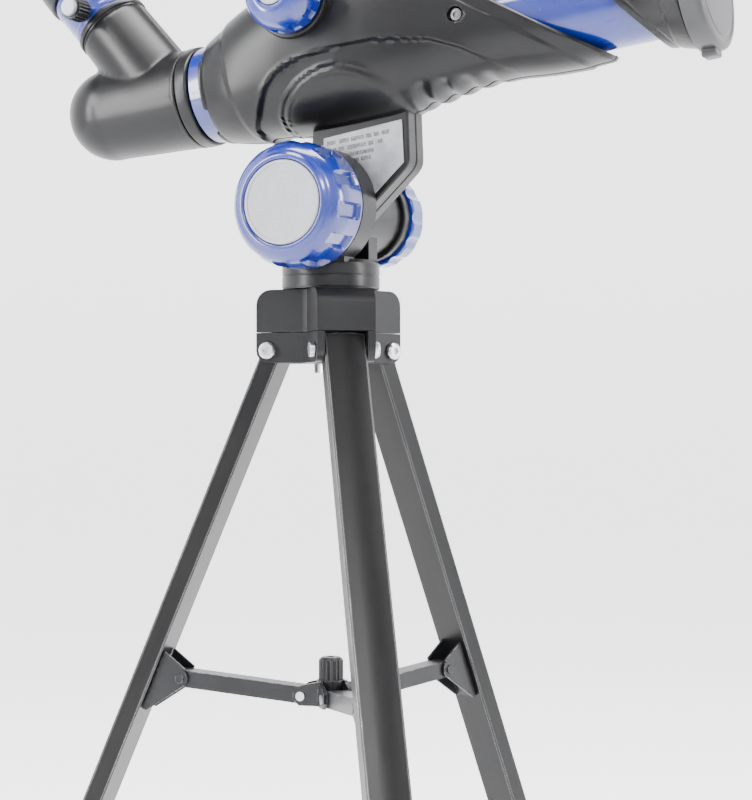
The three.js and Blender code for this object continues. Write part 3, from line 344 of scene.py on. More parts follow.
def spun_silver(name, m):
    """A silvered disc turned on a lathe: fine rings about its axis, y in its own frame."""
    f = Finish(name, Coat_Roughness=0.2)
    x, _, z = f.parts(f.place(m))
    radius = (x * x + z * z) ** 0.5
    rings = f.noise(f.join(radius * 9, 0.0, 0.0), 1.0, 4, 0.75)
    broad = f.noise(f.join(radius * 1.1, 0.0, 0.0), 1.0, 2)
    smear = f.noise(f.place(m), 0.09, 3).ramp(0.3, 0.8)
    speck = f.noise(f.place(), 2200, 2, 0.7).ramp(0.35, 0.65)
    f.bump(rings * 0.4 + speck * 0.6, 0.015, 0.5)
    mottle = broad * 0.3 + smear * 0.2 + speck * 0.5
    return f.feed(
        Base_Color=f.mix(mottle, (0.20, 0.205, 0.22), (0.36, 0.365, 0.38)),
        Metallic=0.55,
        Roughness=0.4 + rings * 0.12 + speck * 0.1,
        Coat_Weight=0.25,
    )


def printed_label(name, m, lines):
    """Silver film with greeked text; lines are (from, to, height, tallness, seed)."""
    f = Finish(name, Coat_Roughness=0.25)
    p = f.place(m)
    u, _, v = f.parts(p)
    grain = f.noise(f.join(u * 0.4, 0.0, v * 22), 1.0, 4, 0.7)
    ink = None
    for u0, u1, v0, height, seed in lines:
        row = ((v - v0).abs() < height / 2) * (u > u0) * (u < u1)
        # words and letters of uneven width
        words = f.noise(f.join(u * 0.42, seed * 7.3, 0.0), 1.0, 0).ramp(0.36, 0.4)
        strokes = f.noise(f.join(u * 2.6, seed * 3.1, (v - v0) * 0.9), 1.0, 1).ramp(0.42, 0.5)
        bar = row * words * (0.35 + strokes * 0.65)
        ink = bar if ink is None else ink + bar
    stain = f.noise(p, 0.12, 3)
    tone = f.mix(stain.ramp(0.3, 0.7), (0.20, 0.205, 0.22), (0.27, 0.275, 0.29))
    f.bump(grain, 0.01, 0.3)
    return f.feed(
        Base_Color=f.mix(ink * 0.85, tone, (0.015, 0.015, 0.018)),
        Metallic=0.35 - ink * 0.3,
        Roughness=0.34 + grain * 0.12,
        Coat_Weight=0.3,
    )


def soft_rubber(name):
    """Matt black rubber with pores and a grey bloom."""
    f = Finish(name, Specular_IOR_Level=0.35)
    p = f.place()
    bloom = f.noise(p, 60, 4)
    pores = f.noise(p, 1800, 2)
    f.bump(pores, 0.04, 0.6)
    return f.feed(
        Base_Color=f.mix(bloom.ramp(0.35, 0.75), (0.010, 0.010, 0.011), (0.028, 0.028, 0.027)),
        Roughness=0.72 + bloom * 0.18,
    )


def coated_glass(name):
    """A lens under a magenta and green anti-reflection coat, with a trace of dust."""
    f = Finish(name, Transmission_Weight=0.85, IOR=1.52, Coat_Roughness=0.02)
    p = f.place()
    facing = f.node("ShaderNodeLayerWeight", None, {"Blend": 0.35}, 1)
    dust = f.noise(p, 1500, 2).ramp(0.66, 0.74)
    tint = f.mix(facing.ramp(0.1, 0.8), (0.62, 0.80, 0.72), (0.72, 0.48, 0.80))
    return f.feed(
        Base_Color=f.mix(dust * 0.3, tint, (0.7, 0.7, 0.7)),
        Roughness=0.02 + dust * 0.25,
        Coat_Weight=1.0 - dust * 0.3,
    )


def mirror_silver(name):
    """A front-silvered mirror with a little haze."""
    f = Finish(name, Metallic=1.0)
    haze = f.noise(f.place(), 200, 3).ramp(0.5, 0.8)
    return f.feed(
        Base_Color=f.mix(haze * 0.2, (0.86, 0.87, 0.89), (0.7, 0.72, 0.74)),
        Roughness=0.03 + haze * 0.06,
    )


def cut_brass(name):
    """Milled brass, darkened in patches."""
    f = Finish(name, Metallic=1.0)
    p = f.place()
    mill = f.noise(p, 900, 4, 0.7)
    patina = f.noise(p, 120, 3).ramp(0.4, 0.75)
    f.bump(mill, 0.01, 0.4)
    return f.feed(
        Base_Color=f.mix(patina, (0.72, 0.50, 0.20), (0.42, 0.28, 0.11)),
        Roughness=0.26 + mill * 0.15 + patina * 0.1,
    )


def cap_face_black(name, m, radius):
    """The dust cap: turned rings on its flat face, grain all over."""
    f = Finish(name, Specular_IOR_Level=0.55, Coat_Roughness=0.3)
    p = f.place(m)
    _, y, z = f.parts(p)
    r = (y * y + z * z) ** 0.5
    rings = f.noise(f.join(r * 5, 0.0, 0.0), 1.0, 4, 0.7)
    cloud = f.noise(p, 0.05, 3)
    grit = f.noise(p, 2.6, 2)
    face = r.ramp(radius - 3.5, radius - 5.0)
    f.bump(rings * face * 0.6 + grit * 0.5, 0.02, 0.5)
    return f.feed(
        Base_Color=f.mix(cloud.ramp(0.3, 0.7), (0.016, 0.016, 0.018), (0.030, 0.030, 0.033)),
        Roughness=0.4 + rings * face * 0.12 + cloud * 0.08,
        Coat_Weight=0.2,
    )


# ------------------------------------------------------------------ meshes
BODY = {n: b for b, nodes in frame["record"]["behaviour"]["bodies"].items() for n in nodes}


def show(name, bm, material, m=None, soft=35, bevel=0, segments=2, wall=0):
    """A finished object from a bmesh in a part's own millimetres."""
    bmesh.ops.remove_doubles(bm, verts=bm.verts, dist=0.004 if m else 4e-6)
    if not wall:
        bmesh.ops.recalc_face_normals(bm, faces=bm.faces)
    if m:
        bmesh.ops.transform(bm, matrix=m, verts=bm.verts)
    for f in bm.faces:
        f.smooth = True
    for e in bm.edges:
        e.smooth = e.calc_face_angle(0) < soft * DEG
    me = bpy.data.meshes.new(name)
    bm.to_mesh(me)
    bm.free()
    o = bpy.data.objects.new(name, me)
    bpy.context.scene.collection.objects.link(o)
    me.materials.append(material)
    if wall:
        mod = o.modifiers.new("wall", "SOLIDIFY")
        mod.thickness, mod.offset = wall * MM, -1
    if bevel:
        mod = o.modifiers.new("edges", "BEVEL")
        mod.width, mod.segments, mod.limit_method = bevel * MM, segments, "ANGLE"
        mod.angle_limit, mod.harden_normals = soft * DEG, True
    return o


def baked(o):
    """The same object with its modifiers made into plain mesh."""
    deps = bpy.context.evaluated_depsgraph_get()
    me = bpy.data.meshes.new_from_object(o.evaluated_get(deps))
    old, o.data = o.data, me
    o.modifiers.clear()
    bpy.data.meshes.remove(old)
    return o


def joined(name, *parts):
    """Several objects as one mesh, each keeping its own material."""
    mats, bm = [], bmesh.new()
    for o in parts:
        baked(o)
        start = len(bm.faces)
        shift = {}
        for i, mat in enumerate(o.data.materials):
            if mat not in mats:
                mats.append(mat)
            shift[i] = mats.index(mat)
        bm.from_mesh(o.data)
        bm.faces.ensure_lookup_table()
        for f in bm.faces[start:]:
            f.material_index = shift.get(f.material_index, 0)
    me = bpy.data.meshes.new(name)
    bm.to_mesh(me)
    bm.free()
    for mat in mats:
        me.materials.append(mat)
    for o in parts:
        bpy.data.objects.remove(o)
    out = bpy.data.objects.new(name, me)
    bpy.context.scene.collection.objects.link(out)
    return out


def stands_for(piece, *nodes):
    """The piece takes the CAD nodes' place and body; the nodes are hidden."""
    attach(piece, BODY[nodes[0]])
    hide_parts(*nodes)
    return piece


ON_AXIS = 0.01  # radius of a turned profile's end on its axis


def rounded(points, radius=0.5, steps=3, closed=False):
    """A profile with its corners rounded; points are (r, z), or (r, z, own radius)."""
    out, n = [], len(points)
    for i, p in enumerate(points):
        rad = p[2] if len(p) > 2 else radius
        here = np.array(p[:2], float)
        if not closed and i in (0, n - 1) or rad == 0:
            out.append(tuple(here))
            continue
        a = np.array(points[i - 1][:2], float) - here
        b = np.array(points[(i + 1) % n][:2], float) - here
        la, lb = np.linalg.norm(a), np.linalg.norm(b)
        r = min(rad, la * 0.45, lb * 0.45)
        p0, p1 = here + a / la * r, here + b / lb * r
        for k in range(steps + 1):
            t = k / steps
            out.append(tuple((1 - t) ** 2 * p0 + 2 * t * (1 - t) * here + t * t * p1))
    return out


def lathe(profile, sides=96, axis="z", shape=None, closed=False, centre=(0, 0, 0)):
    """A turned solid: profile of (radius, height), which shape(r, h, angle) may recut."""
    bm = bmesh.new()
    rings = []
    for r, h in profile:
        ring = []
        for k in range(sides):
            a = 2 * math.pi * k / sides
            rr = shape(r, h, a) if shape and r > ON_AXIS else r
            c, s = rr * math.cos(a), rr * math.sin(a)
            p = {"z": (c, s, h), "y": (c, h, s), "x": (h, c, s)}[axis]
            ring.append(bm.verts.new([p[i] + centre[i] for i in range(3)]))
        rings.append(ring)
    pairs = list(zip(rings, rings[1:])) + ([(rings[-1], rings[0])] if closed else [])
    for a, b in pairs:
        for k in range(sides):
            n = (k + 1) % sides
            bm.faces.new((a[k], a[n], b[n], b[k]))
    return bm


def refined(name, node, material, bevel=0.4, soft=30, segments=2, flat=2.0):
    """A CAD solid copied, its flat faces joined and its edges rounded."""
    bm = bmesh.new()
    bm.from_mesh(NODES[node].data)
    bmesh.ops.remove_doubles(bm, verts=bm.verts, dist=2e-6)
    bmesh.ops.dissolve_limit(bm, angle_limit=flat * DEG, verts=bm.verts, edges=bm.edges)
    return show(name, bm, material, soft=soft, bevel=bevel, segments=segments)


def slab(outline, lo, hi, axis="y"):
    """A flat outline given thickness along an axis."""
    bm = bmesh.new()
    at = {"y": lambda a, b, t: (a, t, b), "x": lambda a, b, t: (t, a, b)}[axis]
    low = [bm.verts.new(at(a, b, lo)) for a, b in outline]
    high = [bm.verts.new(at(a, b, hi)) for a, b in outline]
    bm.faces.new(low)
    bm.faces.new(high[::-1])
    for i in range(len(outline)):
        j = (i + 1) % len(outline)
        bm.faces.new((low[i], low[j], high[j], high[i]))
    return bm


# ------------------------------------------------------------------ shared finishes
SHELL_BLACK = moulded_black("black_moulded_shell", 0.0045, 0.25, 0.35, 0.12)
TRIM_BLACK = moulded_black("black_moulded_trim", 0.0045, 0.28, 0.5, 0.12)
HUB_BLACK = moulded_black("black_moulded_hub", 0.006, 0.34, 0.8, 0.08)
SHIELD_BLACK = moulded_black("black_dew_shield", 0.005, 0.22, 0.3, 0.2)
BLUE = glossy_blue("blue_gloss_plastic")
STEEL = bright_steel("zinc_steel")
DARK_STEEL = bright_steel("blackened_bolt", (0.16, 0.16, 0.17), 0.3)
PAINTED = pressed_steel("black_painted_steel")
RUBBER = soft_rubber("black_rubber")
GLASS = coated_glass("coated_glass")
MIRROR = mirror_silver("front_mirror")
BRASS = cut_brass("cut_brass")

# ------------------------------------------------------------------ housing
# u runs along the tube, v up; (u, lowest, highest, half width) of each section
STATIONS = np.array([
    (-64, -28.3, 28.3, 28.3), (-57, -30, 31, 31), (-50, -31.3, 35, 33), (-42, -32.3, 39, 34.2),
    (-30, -33.2, 44, 35.2), (-15, -34.4, 49, 36), (0, -35, 52, 36), (20, -35.2, 53, 36),
    (40, -34.8, 51, 35), (57, -33, 47.5, 33.4), (75, -29.4, 43, 31.2), (89, -26.8, 40, 29.4),
    (104, -25.6, 37, 28), (122, -27.6, 34, 27.2), (140, -28.4, 32, 26.4), (159, -27.6, 30, 25.6),
])
SQUARENESS = 2 / 2.3
CUT_U, CUT_V, CUT_TILT = 148.5, -22, 35.7 * DEG  # the slanted front edge
BORE_FRONT, BORE_REAR = 21.8, 26.4
SHELL_WALL = 2.2
REAR_U = -64
PIVOT_V = -75
BOSS_R = 19.0  # of the keel round the altitude bolt
FORWARD = 9.5  # middle of the housing ahead of the altitude axis
FOCUS_V = 31.6
GRIP_US = (58, 69, 80, 91)
GRIP_HALF, GRIP_DEPTH = 3.4, 2.0
LIP_R, REAR_R = 1.8, 2.2  # rounding of the front lip and of the rear edge
THINNEST = 0.15  # of a half-shell at the seam


def smoothstep(x, lo, hi):
    t = np.clip((x - lo) / (hi - lo), 0, 1)
    return t * t * (3 - 2 * t)


FINE_STEP = 0.5
FINE_U = np.arange(-64, 176, FINE_STEP)
SMOOTH_TAPS, SMOOTH_WIDTH = 24, 9.0


def eased(column):
    """A station column as a smooth curve along the housing."""
    raw = np.interp(FINE_U, STATIONS[:, 0], STATIONS[:, column])
    n = SMOOTH_TAPS
    before = 2 * raw[0] - raw[n:0:-1]
    after = 2 * raw[-1] - raw[-2:-n - 2:-1]
    pad = np.concatenate([before, raw, after])
    kernel = np.exp(-0.5 * (np.arange(-n, n + 1) / SMOOTH_WIDTH) ** 2)
    return np.convolve(pad, kernel / kernel.sum(), "valid")


LOW, HIGH, HALF = eased(1), eased(2), eased(3)


# the arched ledge and the ridged arch inside it, as (u, v) from the side
LEDGE = np.array([
    (-39, -34), (-38, -29), (-32.4, -23.2), (-27.5, -16.5), (-23, -10.7), (-17, -6),
    (-10.2, -2.6), (-2, -0.4), (7.4, 0.6), (25.9, 1.9), (40, 1.2), (55, -1.2),
    (70.7, -4.2), (84.9, -10.6), (97, -18.2), (107.7, -25),
])
ARCH = np.array([
    (-24, -36), (-22.5, -31), (-20.3, -25.3), (-16.5, -20.2), (-11.1, -15.5), (-5, -11),
    (2.1, -8.1), (10, -6.2), (17.5, -6), (24, -7.4), (30.2, -10), (37.4, -14.2),
    (43, -18.5), (47, -24), (48, -34),
])


def from_line(u, v, line):
    """Distance to a line across the side, positive outside the arch it makes."""
    best = np.full(u.shape, 1e9)
    inside = np.zeros(u.shape, bool)
    for p, q in zip(line, line[1:]):
        e = q - p
        t = np.clip(((u - p[0]) * e[0] + (v - p[1]) * e[1]) / (e @ e), 0, 1)
        best = np.minimum(best, np.hypot(u - p[0] - t * e[0], v - p[1] - t * e[1]))
        between = (u >= p[0]) & (u < q[0])
        inside |= between & (v < p[1] + (u - p[0]) * e[1] / (e[0] or 1))
    return np.where(inside, -best, best)


def ridge(distance, width):
    """A rounded ridge, 1 on its crest."""
    return np.exp(-((distance / width) ** 2))


def rolled(from_edge, radius):
    """How far a rounded edge falls away."""
    x = np.clip(radius - from_edge, 0, radius)
    return radius - np.sqrt(radius ** 2 - x ** 2)


def relief(u, v):
    """How far the side stands out."""
    # the arched ledge, which dies out towards the front, with a raised rim
    d = from_line(u, v, LEDGE)
    deep = 2.1 * (1 - smoothstep(u, 60, 110)) + 0.15
    rim = 0.35 * ridge(d - 1.2, 0.9) * (1 - smoothstep(u, 70, 105))
    out = 0.5 - deep * smoothstep(d, 0.8, -0.9) + rim
    # the swelling inside it, with two ridges at its rear
    a = from_line(u, v, ARCH)
    fade = 1 - smoothstep(u, 22, 40)
    out += 1.1 * smoothstep(a, 0.5, -6)
    out += fade * (1.1 * ridge(a - 0.2, 0.75) + 0.7 * ridge(a + 3.0, 0.7))
    # finger grips, each shallower than the last
    zone = smoothstep(v, -36, -33.5) * smoothstep(v, -21.5, -27)
    for n, g in enumerate(GRIP_US):
        across = np.abs((u - g - 0.35 * (v + 28)) / GRIP_HALF)
        out -= (GRIP_DEPTH - 0.2 * n) * np.exp(-(across ** 2.6)) * zone
    # the front band and lip, the rear edge and the rear band
    cut = -((u - CUT_U) * math.sin(CUT_TILT) + (v - CUT_V) * math.cos(CUT_TILT))
    out -= 0.9 * smoothstep(cut, 8.4, 7.2)
    out -= rolled(cut, LIP_R)
    out -= rolled(u - REAR_U, REAR_R)
    return out - 0.8 * smoothstep(u + 0.12 * v, -45.2, -46.4)


def housing_half(name, side):
    """One half-shell's skin: side -1 is near, +1 far."""
    rows, cols = 118, 176  # round the section, along the tube
    bm = bmesh.new()
    grid = []
    for i in range(rows + 1):
        a = math.pi * i / rows
        c, s = math.cos(a), math.sin(a)
        cs = math.copysign(abs(c) ** SQUARENESS, c)
        ss = s ** SQUARENESS if s > 1e-9 else 0.0
        # where this line of the side meets the slanted front
        mid, b = (LOW + HIGH) / 2, (HIGH - LOW) / 2
        v_line = mid + b * cs
        front = (FINE_U - CUT_U) * math.sin(CUT_TILT) + (v_line - CUT_V) * math.cos(CUT_TILT)
        k = int(np.argmax(front > 0))
        part = -front[k - 1] / (front[k] - front[k - 1])
        u_end = FINE_U[k - 1] + FINE_STEP * part
        t = np.linspace(0, 1, cols + 1)
        t = t + 0.035 * np.sin(2 * math.pi * t)  # closer near both ends
        u = REAR_U + (u_end - REAR_U) * np.clip(t, 0, 1)
        lo, hi, half = (np.interp(u, FINE_U, x) for x in (LOW, HIGH, HALF))
        v = (lo + hi) / 2 + (hi - lo) / 2 * cs
        w = half * ss
        nv, nw = cs * abs(cs), ss
        length = math.hypot(nv, nw) or 1
        d = relief(u, v)
        side_on = smoothstep(np.array(nw / length), 0.0, 0.35)
        seam = 0.35 * math.exp(-((w.max() / 1.2) ** 2))
        edge = np.minimum(d, 0) + np.maximum(d, 0) * side_on - seam
        v2 = v + edge * nv / length
        w2 = np.maximum(w + edge * nw / length, THINNEST)
        line = []

        def at(uu, vv, ww):
            line.append((uu, side * max(ww, THINNEST), vv))

        # from the rear bore out over the flat rear end
        ang, r = math.atan2(w2[0], v2[0]), math.hypot(w2[0], v2[0])
        for f in (0.0, 0.35, 0.7):
            rr = BORE_REAR + (r - 0.4 - BORE_REAR) * f
            if f == 0.0:
                at(REAR_U + 3, rr * math.cos(ang), rr * math.sin(ang))
            at(REAR_U, rr * math.cos(ang), rr * math.sin(ang))
        for uu, vv, ww in zip(u, v2, w2):
            at(uu, vv, ww)
        # over the slanted front end, sunk a little, and back into the bore
        ang, r = math.atan2(w2[-1], v2[-1]), math.hypot(w2[-1], v2[-1])
        for f, sunk in ((0.15, 0.0), (0.6, 0.9), (0.94, 0.9), (1.0, 0.0), (1.0, 3.5)):
            rr = r + (BORE_FRONT - r) * f
            vv = rr * math.cos(ang)
            uu = CUT_U - (vv - CUT_V) / math.tan(CUT_TILT)
            at(uu - sunk, vv, rr * math.sin(ang))
        grid.append([bm.verts.new(p) for p in line])
    for a, b in zip(grid, grid[1:]):
        for k in range(len(a) - 1):
            quad = (a[k], b[k], b[k + 1], a[k + 1])
            bm.faces.new(quad if side > 0 else quad[::-1])
    bm.normal_update()
    probe = grid[rows // 2][cols // 2].link_faces[0]
    if probe.normal.y * side < 0:
        bmesh.ops.reverse_faces(bm, faces=bm.faces)
    return show(name, bm, SHELL_BLACK, SCOPE, soft=40, wall=SHELL_WALL)


def keel_outline(steps=120):
    """The keel's outline with the pivot boss's round end, in rays from a point in both."""
    middle = np.array((0.0, -62.0))
    corners = np.array([(-16.5, -66), (-9, -24), (46, -24), (43, -60), (13 - FORWARD, -89)])
    out = []
    for k in range(steps):
        a = 2 * math.pi * k / steps
        d = np.array((math.cos(a), math.sin(a)))
        best = 0.0
        for p, q in zip(corners, np.roll(corners, -1, 0)):
            e = q - p
            den = d[0] * e[1] - d[1] * e[0]
            if abs(den) > 1e-9:
                to = p - middle
                t = (to[0] * e[1] - to[1] * e[0]) / den
                s = (to[0] * d[1] - to[1] * d[0]) / den
                if t > 0 and -1e-9 <= s <= 1 + 1e-9:
                    best = max(best, t)
        c = np.array((-FORWARD, PIVOT_V)) - middle
        along = float(c @ d)
        h = BOSS_R ** 2 - (float(c @ c) - along ** 2)
        if h > 0:
            best = max(best, along + math.sqrt(h))
        out.append(tuple(middle + d * best))
    pts = np.array(out)
    for _ in range(2):
        pts = pts * 0.5 + (np.roll(pts, 1, 0) + np.roll(pts, -1, 0)) * 0.25
    return [tuple(p) for p in pts]


KEEL = keel_outline()


def cut_holes(o, holes):
    """Round holes along the telescope's cross axis: (u, v, radius, from, to)."""
    for u, v, r, y0, y1 in holes:
        bm = lathe([(0, y0), (r, y0), (r, y1), (0, y1)], 40, "y", centre=(u, 0, v))
        cutter = show("cutter", bm, SHELL_BLACK, SCOPE)
        mod = o.modifiers.new("hole", "BOOLEAN")
        mod.object, mod.operation, mod.solver = cutter, "DIFFERENCE", "EXACT"
        baked(o)
        bpy.data.objects.remove(cutter)
    return o


# screw wells: u, v, radius, seat, top, and how deep the skin is cut for them
WELLS = (
    (30, 38, 3.7, 20, 27, 15),
    (-20, 34, 3.7, 20, 29.5, 15),
    (85.6, 5.5, 4.0, 22, 28, 22),
)
OUTSIDE = 60  # clear of the skin
SEAM_GAP, KEEL_SIDE = 0.15, 9.35


def ring_on_shell(name, profile, sides, centre):
    """A turned ring that belongs to the near half-shell."""
    bm = lathe(profile, sides, "y", closed=True, centre=centre)
    return show(name, bm, SHELL_BLACK, SCOPE)


def shell(side):
    """One half of the housing with its keel; the near one has wells and the focus boss."""
    name = "shell_near" if side < 0 else "shell_far"
    skin = baked(housing_half("skin", side))
    lo, hi = sorted((side * SEAM_GAP, side * KEEL_SIDE))
    keel = show("keel", slab(KEEL, lo, hi), SHELL_BLACK, SCOPE, soft=50, bevel=1.3, segments=3)
    parts = [skin, keel]
    if side < 0:
        cut_holes(skin, [(u, v, r, -OUTSIDE, -cut) for u, v, r, _, _, cut in WELLS])
        for u, v, r, seat, top, _ in WELLS:
            well = rounded([
                (1.7, -seat), (r - 0.05, -seat), (r - 0.05, -top), (r + 1.4, -top),
                (r + 1.4, -seat + 1.5), (1.7, -seat + 1.5),
            ], 0.2)
            parts.append(ring_on_shell("well", well, 48, (u, 0, v)))
        boss = rounded([
            (5, -30), (23.2, -30), (23.2, -33.4), (22.2, -34.2), (22.2, -35),
            (21.6, -35.8), (21, -39.8), (5, -39.8),
        ], 0.7, 3)
        parts.append(ring_on_shell("boss", boss, 128, (0, 0, FOCUS_V)))
    return stands_for(joined("housing_" + name, *parts), name)


shell(-1)
shell(1)


# ------------------------------------------------------------------ optical tube
def turned(node, profile, material, m=SCOPE, sides=112, axis="x", closed=True, shape=None):
    """A turned piece that takes a CAD node's place."""
    bm = lathe(profile, sides, axis, shape, closed)
    return stands_for(show("fine_" + node, bm, material, m), node)


turned("main_tube", rounded([(20, 30), (21.5, 30), (21.5, 182), (20, 182)], 0.3, 2, True), BLUE)
turned("objective_cell", rounded([
    (20.2, 182.3), (24.6, 182.3), (24.6, 190), (23.2, 190), (23.2, 187), (22.6, 186.2),
    (20.2, 186.2),
], 0.5, 3, True), TRIM_BLACK)


def crown(r, x0, x1, share):
    """A biconvex lens from x0 to x1: two domes, each a share of its thickness."""
    bulge = (x1 - x0) * share
    quarter = np.linspace(0, math.pi / 2, 14)
    front = [(r * math.sin(t), x1 - bulge * math.sin(t) ** 2) for t in quarter]
    back = [(r * math.sin(t), x0 + bulge * math.sin(t) ** 2) for t in quarter[::-1]]
    return [(0, x1)] + front[1:] + back[:-1] + [(0, x0)]


lens_lo, lens_hi = in_frame("objective_lens", SCOPE)
turned("objective_lens", crown(lens_hi[1], lens_lo[0], lens_hi[0], 0.35), GLASS, closed=False)

SHIELD_CUT_U, SHIELD_CUT_TILT = 162, 51.3 * DEG
SHIELD_R, SHIELD_FRONT, SHIELD_WALL = 26.4, 197.7, 1.9
SHIELD_LIP = 1.0
SHIELD_GROOVE = 188.4


def dew_shield():
    """The flared shield: its rear edge runs slanted, with a rolled lip front and back."""
    xs, rs = zip((136, 26.2), (150, 26.3), (170, 26.5), (182, 26.7), (187, 27.3),
                 (192.5, 28.9), (196, 29.8), (198, 30))
    sides, rows = 144, 64
    bm = bmesh.new()
    grid = []
    for k in range(sides):
        a = 2 * math.pi * k / sides
        cy, cz = math.sin(a), math.cos(a)
        start = SHIELD_CUT_U - SHIELD_R * cz / math.tan(SHIELD_CUT_TILT)
        line = []
        for inner in (0, 1):
            for t in np.linspace(0, 1, rows):
                t = 1 - t if inner else t * t * (3 - 2 * t)
                x = start + (SHIELD_FRONT - start) * t
                # three smoothing taps keep the flare soft
                r = np.mean([np.interp(x + d, xs, rs) for d in (-2, 0, 2)])
                if inner:
                    r -= SHIELD_WALL
                else:
                    r -= rolled(x - start, SHIELD_LIP) + rolled(SHIELD_FRONT - x, SHIELD_LIP)
                    r -= 0.35 * ridge(x - start - 4.5, 0.6)
                    r -= 0.3 * ridge(x - SHIELD_GROOVE, 0.6)
                line.append(bm.verts.new((x, r * cy, r * cz)))
        grid.append(line)
    for k in range(sides):
        a, b = grid[k], grid[(k + 1) % sides]
        for i in range(len(a)):
            j = (i + 1) % len(a)
            bm.faces.new((a[i], b[i], b[j], a[j]))
    return stands_for(show("flared_dew_shield", bm, SHIELD_BLACK, SCOPE, 50), "dew_shield")


dew_shield()

CAP_BACK, CAP_FACE = 198.3, 210.0
CAP_BLACK = cap_face_black("black_dust_cap", SCOPE, 29)


def dust_cap():
    """The cap: a shallow cup with a stepped face, an arched groove and a pull tab."""
    f = CAP_FACE
    front = rounded([
        (29.6, CAP_BACK), (32.1, CAP_BACK), (33, f - 3, 1), (32.6, f - 1.4, 0.8),
        (31.6, f - 0.5, 0.8), (29.4, f, 0.6), (28.6, f - 0.7, 0.3), (26.2, f - 0.7, 0.3),
        (25.6, f - 0.15, 0.3), (14, f, 3), (ON_AXIS, f),
    ], 0.5, 4)
    back = [(ON_AXIS, f - 2), (27.8, f - 2), (29.6, f - 3.5)]
    body = show("cap_body", lathe(front + back, 160, "x", closed=True), CAP_BLACK, SCOPE, 40)
    pull = [(-5.5, -35.4), (-4.2, -36), (4.2, -36), (5.5, -35.4), (5.5, -29), (-5.5, -29)]
    tab = show("tab", slab(pull, 199.6, 207.4, "x"), CAP_BLACK, SCOPE, bevel=1.2, segments=3)
    arc, half_sweep = [], 1.15  # radians to each side of the top
    for r, way in ((21.6, 1), (20.4, -1)):
        for t in np.linspace(-half_sweep, half_sweep, 60)[::way]:
            arc.append((r * math.sin(t), r * math.cos(t)))
    rib = show("arc", slab(arc, f - 1.0, f + 0.35, "x"), CAP_BLACK, SCOPE, bevel=0.25)
    return stands_for(joined("pull_off_dust_cap", body, tab, rib), "dust_cap")


dust_cap()

# ------------------------------------------------------------------ draw tube and diagonal
turned("draw_tube", rounded([
    (24.2, -73.7), (25.3, -73.7), (26, -73.0), (26, 24), (24.2, 24),
], 0.3, 3, True), BLUE)
turned("diagonal_collar", rounded([
    (23.4, -81.6), (26.4, -81.6), (27.2, -80.9), (27.2, -75), (26.6, -74), (23.4, -74),
], 0.5, 3, True), TRIM_BLACK)

BULB, BULB_R = Vector((-137.4, 0, 1.4)), 25.3  # the diagonal's round corner
BEND = Vector((-112, 0, 0.4))
SEAM_MM = SCOPE.inverted() @ SEAM
EYE_DIR = (SCOPE.inverted().to_3x3() @ EYE_AXIS).normalized()
INLET_U, INLET_R = -82.1, 26.9  # the diagonal's front end


def cone(p, q, r0, r1, n=72):
    """A closed tapering tube between two points."""
    bm = bmesh.new()
    z = (q - p).normalized()
    x = Vector((0, 1, 0))
    y = z.cross(x)
    spokes = [x * math.cos(2 * math.pi * k / n) + y * math.sin(2 * math.pi * k / n)
              for k in range(n)]
    rings = [[bm.verts.new(c + spoke * max(r, ON_AXIS)) for spoke in spokes]
             for c, r in ((p, 0.0), (p, r0), (q, r1), (q, 0.0))]
    for a, b in zip(rings, rings[1:]):
        for k in range(n):
            bm.faces.new((a[k], a[(k + 1) % n], b[(k + 1) % n], b[k]))
    return bm


def diagonal_body():
    """The diagonal's housing: front tube, round corner and arm, run together."""
    cones = (
        cone(Vector((-82.2, 0, 0)), BEND, 26.8, 25.6),
        cone(BEND, BULB, 25.6, 25.0),
        cone(SEAM_MM - EYE_DIR * 46, SEAM_MM - EYE_DIR * 0.3, 22.2, 21.0),
    )
    parts = [show("cone", bm, SHELL_BLACK, SCOPE) for bm in cones]
    bm = bmesh.new()
    bmesh.ops.create_uvsphere(bm, u_segments=64, v_segments=40, radius=BULB_R)
    bmesh.ops.translate(bm, vec=BULB, verts=bm.verts)
    parts.append(show("bulb", bm, SHELL_BLACK, SCOPE))
    o = joined("bent_diagonal", *parts)
    mod = o.modifiers.new("fuse", "REMESH")
    mod.mode, mod.voxel_size = "VOXEL", 0.9 * MM
    mod = o.modifiers.new("blend", "SMOOTH")
    mod.factor, mod.iterations = 0.6, 14
    baked(o)
    # its two flat ends, and the mould seam along the middle
    inv = SCOPE.inverted()
    for v in o.data.vertices:
        c = inv @ v.co
        if c.x > INLET_U - 1.4:
            r = math.hypot(c.y, c.z)
            widen = (INLET_R if r > 24 else r) / max(r, 0.1)
            u = c.x if c.x < INLET_U - 0.5 else INLET_U
            c = Vector((u, c.y * widen, c.z * widen))
        along = (c - SEAM_MM).dot(EYE_DIR)
        if along > -1.2 and c.x < -100:
            c += EYE_DIR * (-0.2 - along)
        out = Vector((c.x - BULB.x, 0, c.z - BULB.z)).normalized()
        c -= out * 0.35 * ridge(c.y, 0.7)
        v.co = SCOPE @ c
    for p in o.data.polygons:
        p.use_smooth = True
    o.data.materials.clear()
    o.data.materials.append(SHELL_BLACK)
    upper = rounded([
        (15, -0.2), (20.4, -0.2), (20.4, 0.9), (21.4, 1.1), (21.4, 4.0), (20.9, 4.3), (15, 4.3),
    ], 0.3, 2)
    ring = show("ring", lathe(upper, 112, "z", closed=True), SHELL_BLACK, EYE)
    front = rounded([
        (22, -84.5), (27.0, -84.5), (27.0, -82.4), (26.5, -81.9), (22, -81.9),
    ], 0.3, 2, True)
    rim = show("rim", lathe(front, 112, "x", closed=True), SHELL_BLACK, SCOPE)
    return stands_for(joined("curved_diagonal", o, ring, rim), "diagonal_body")


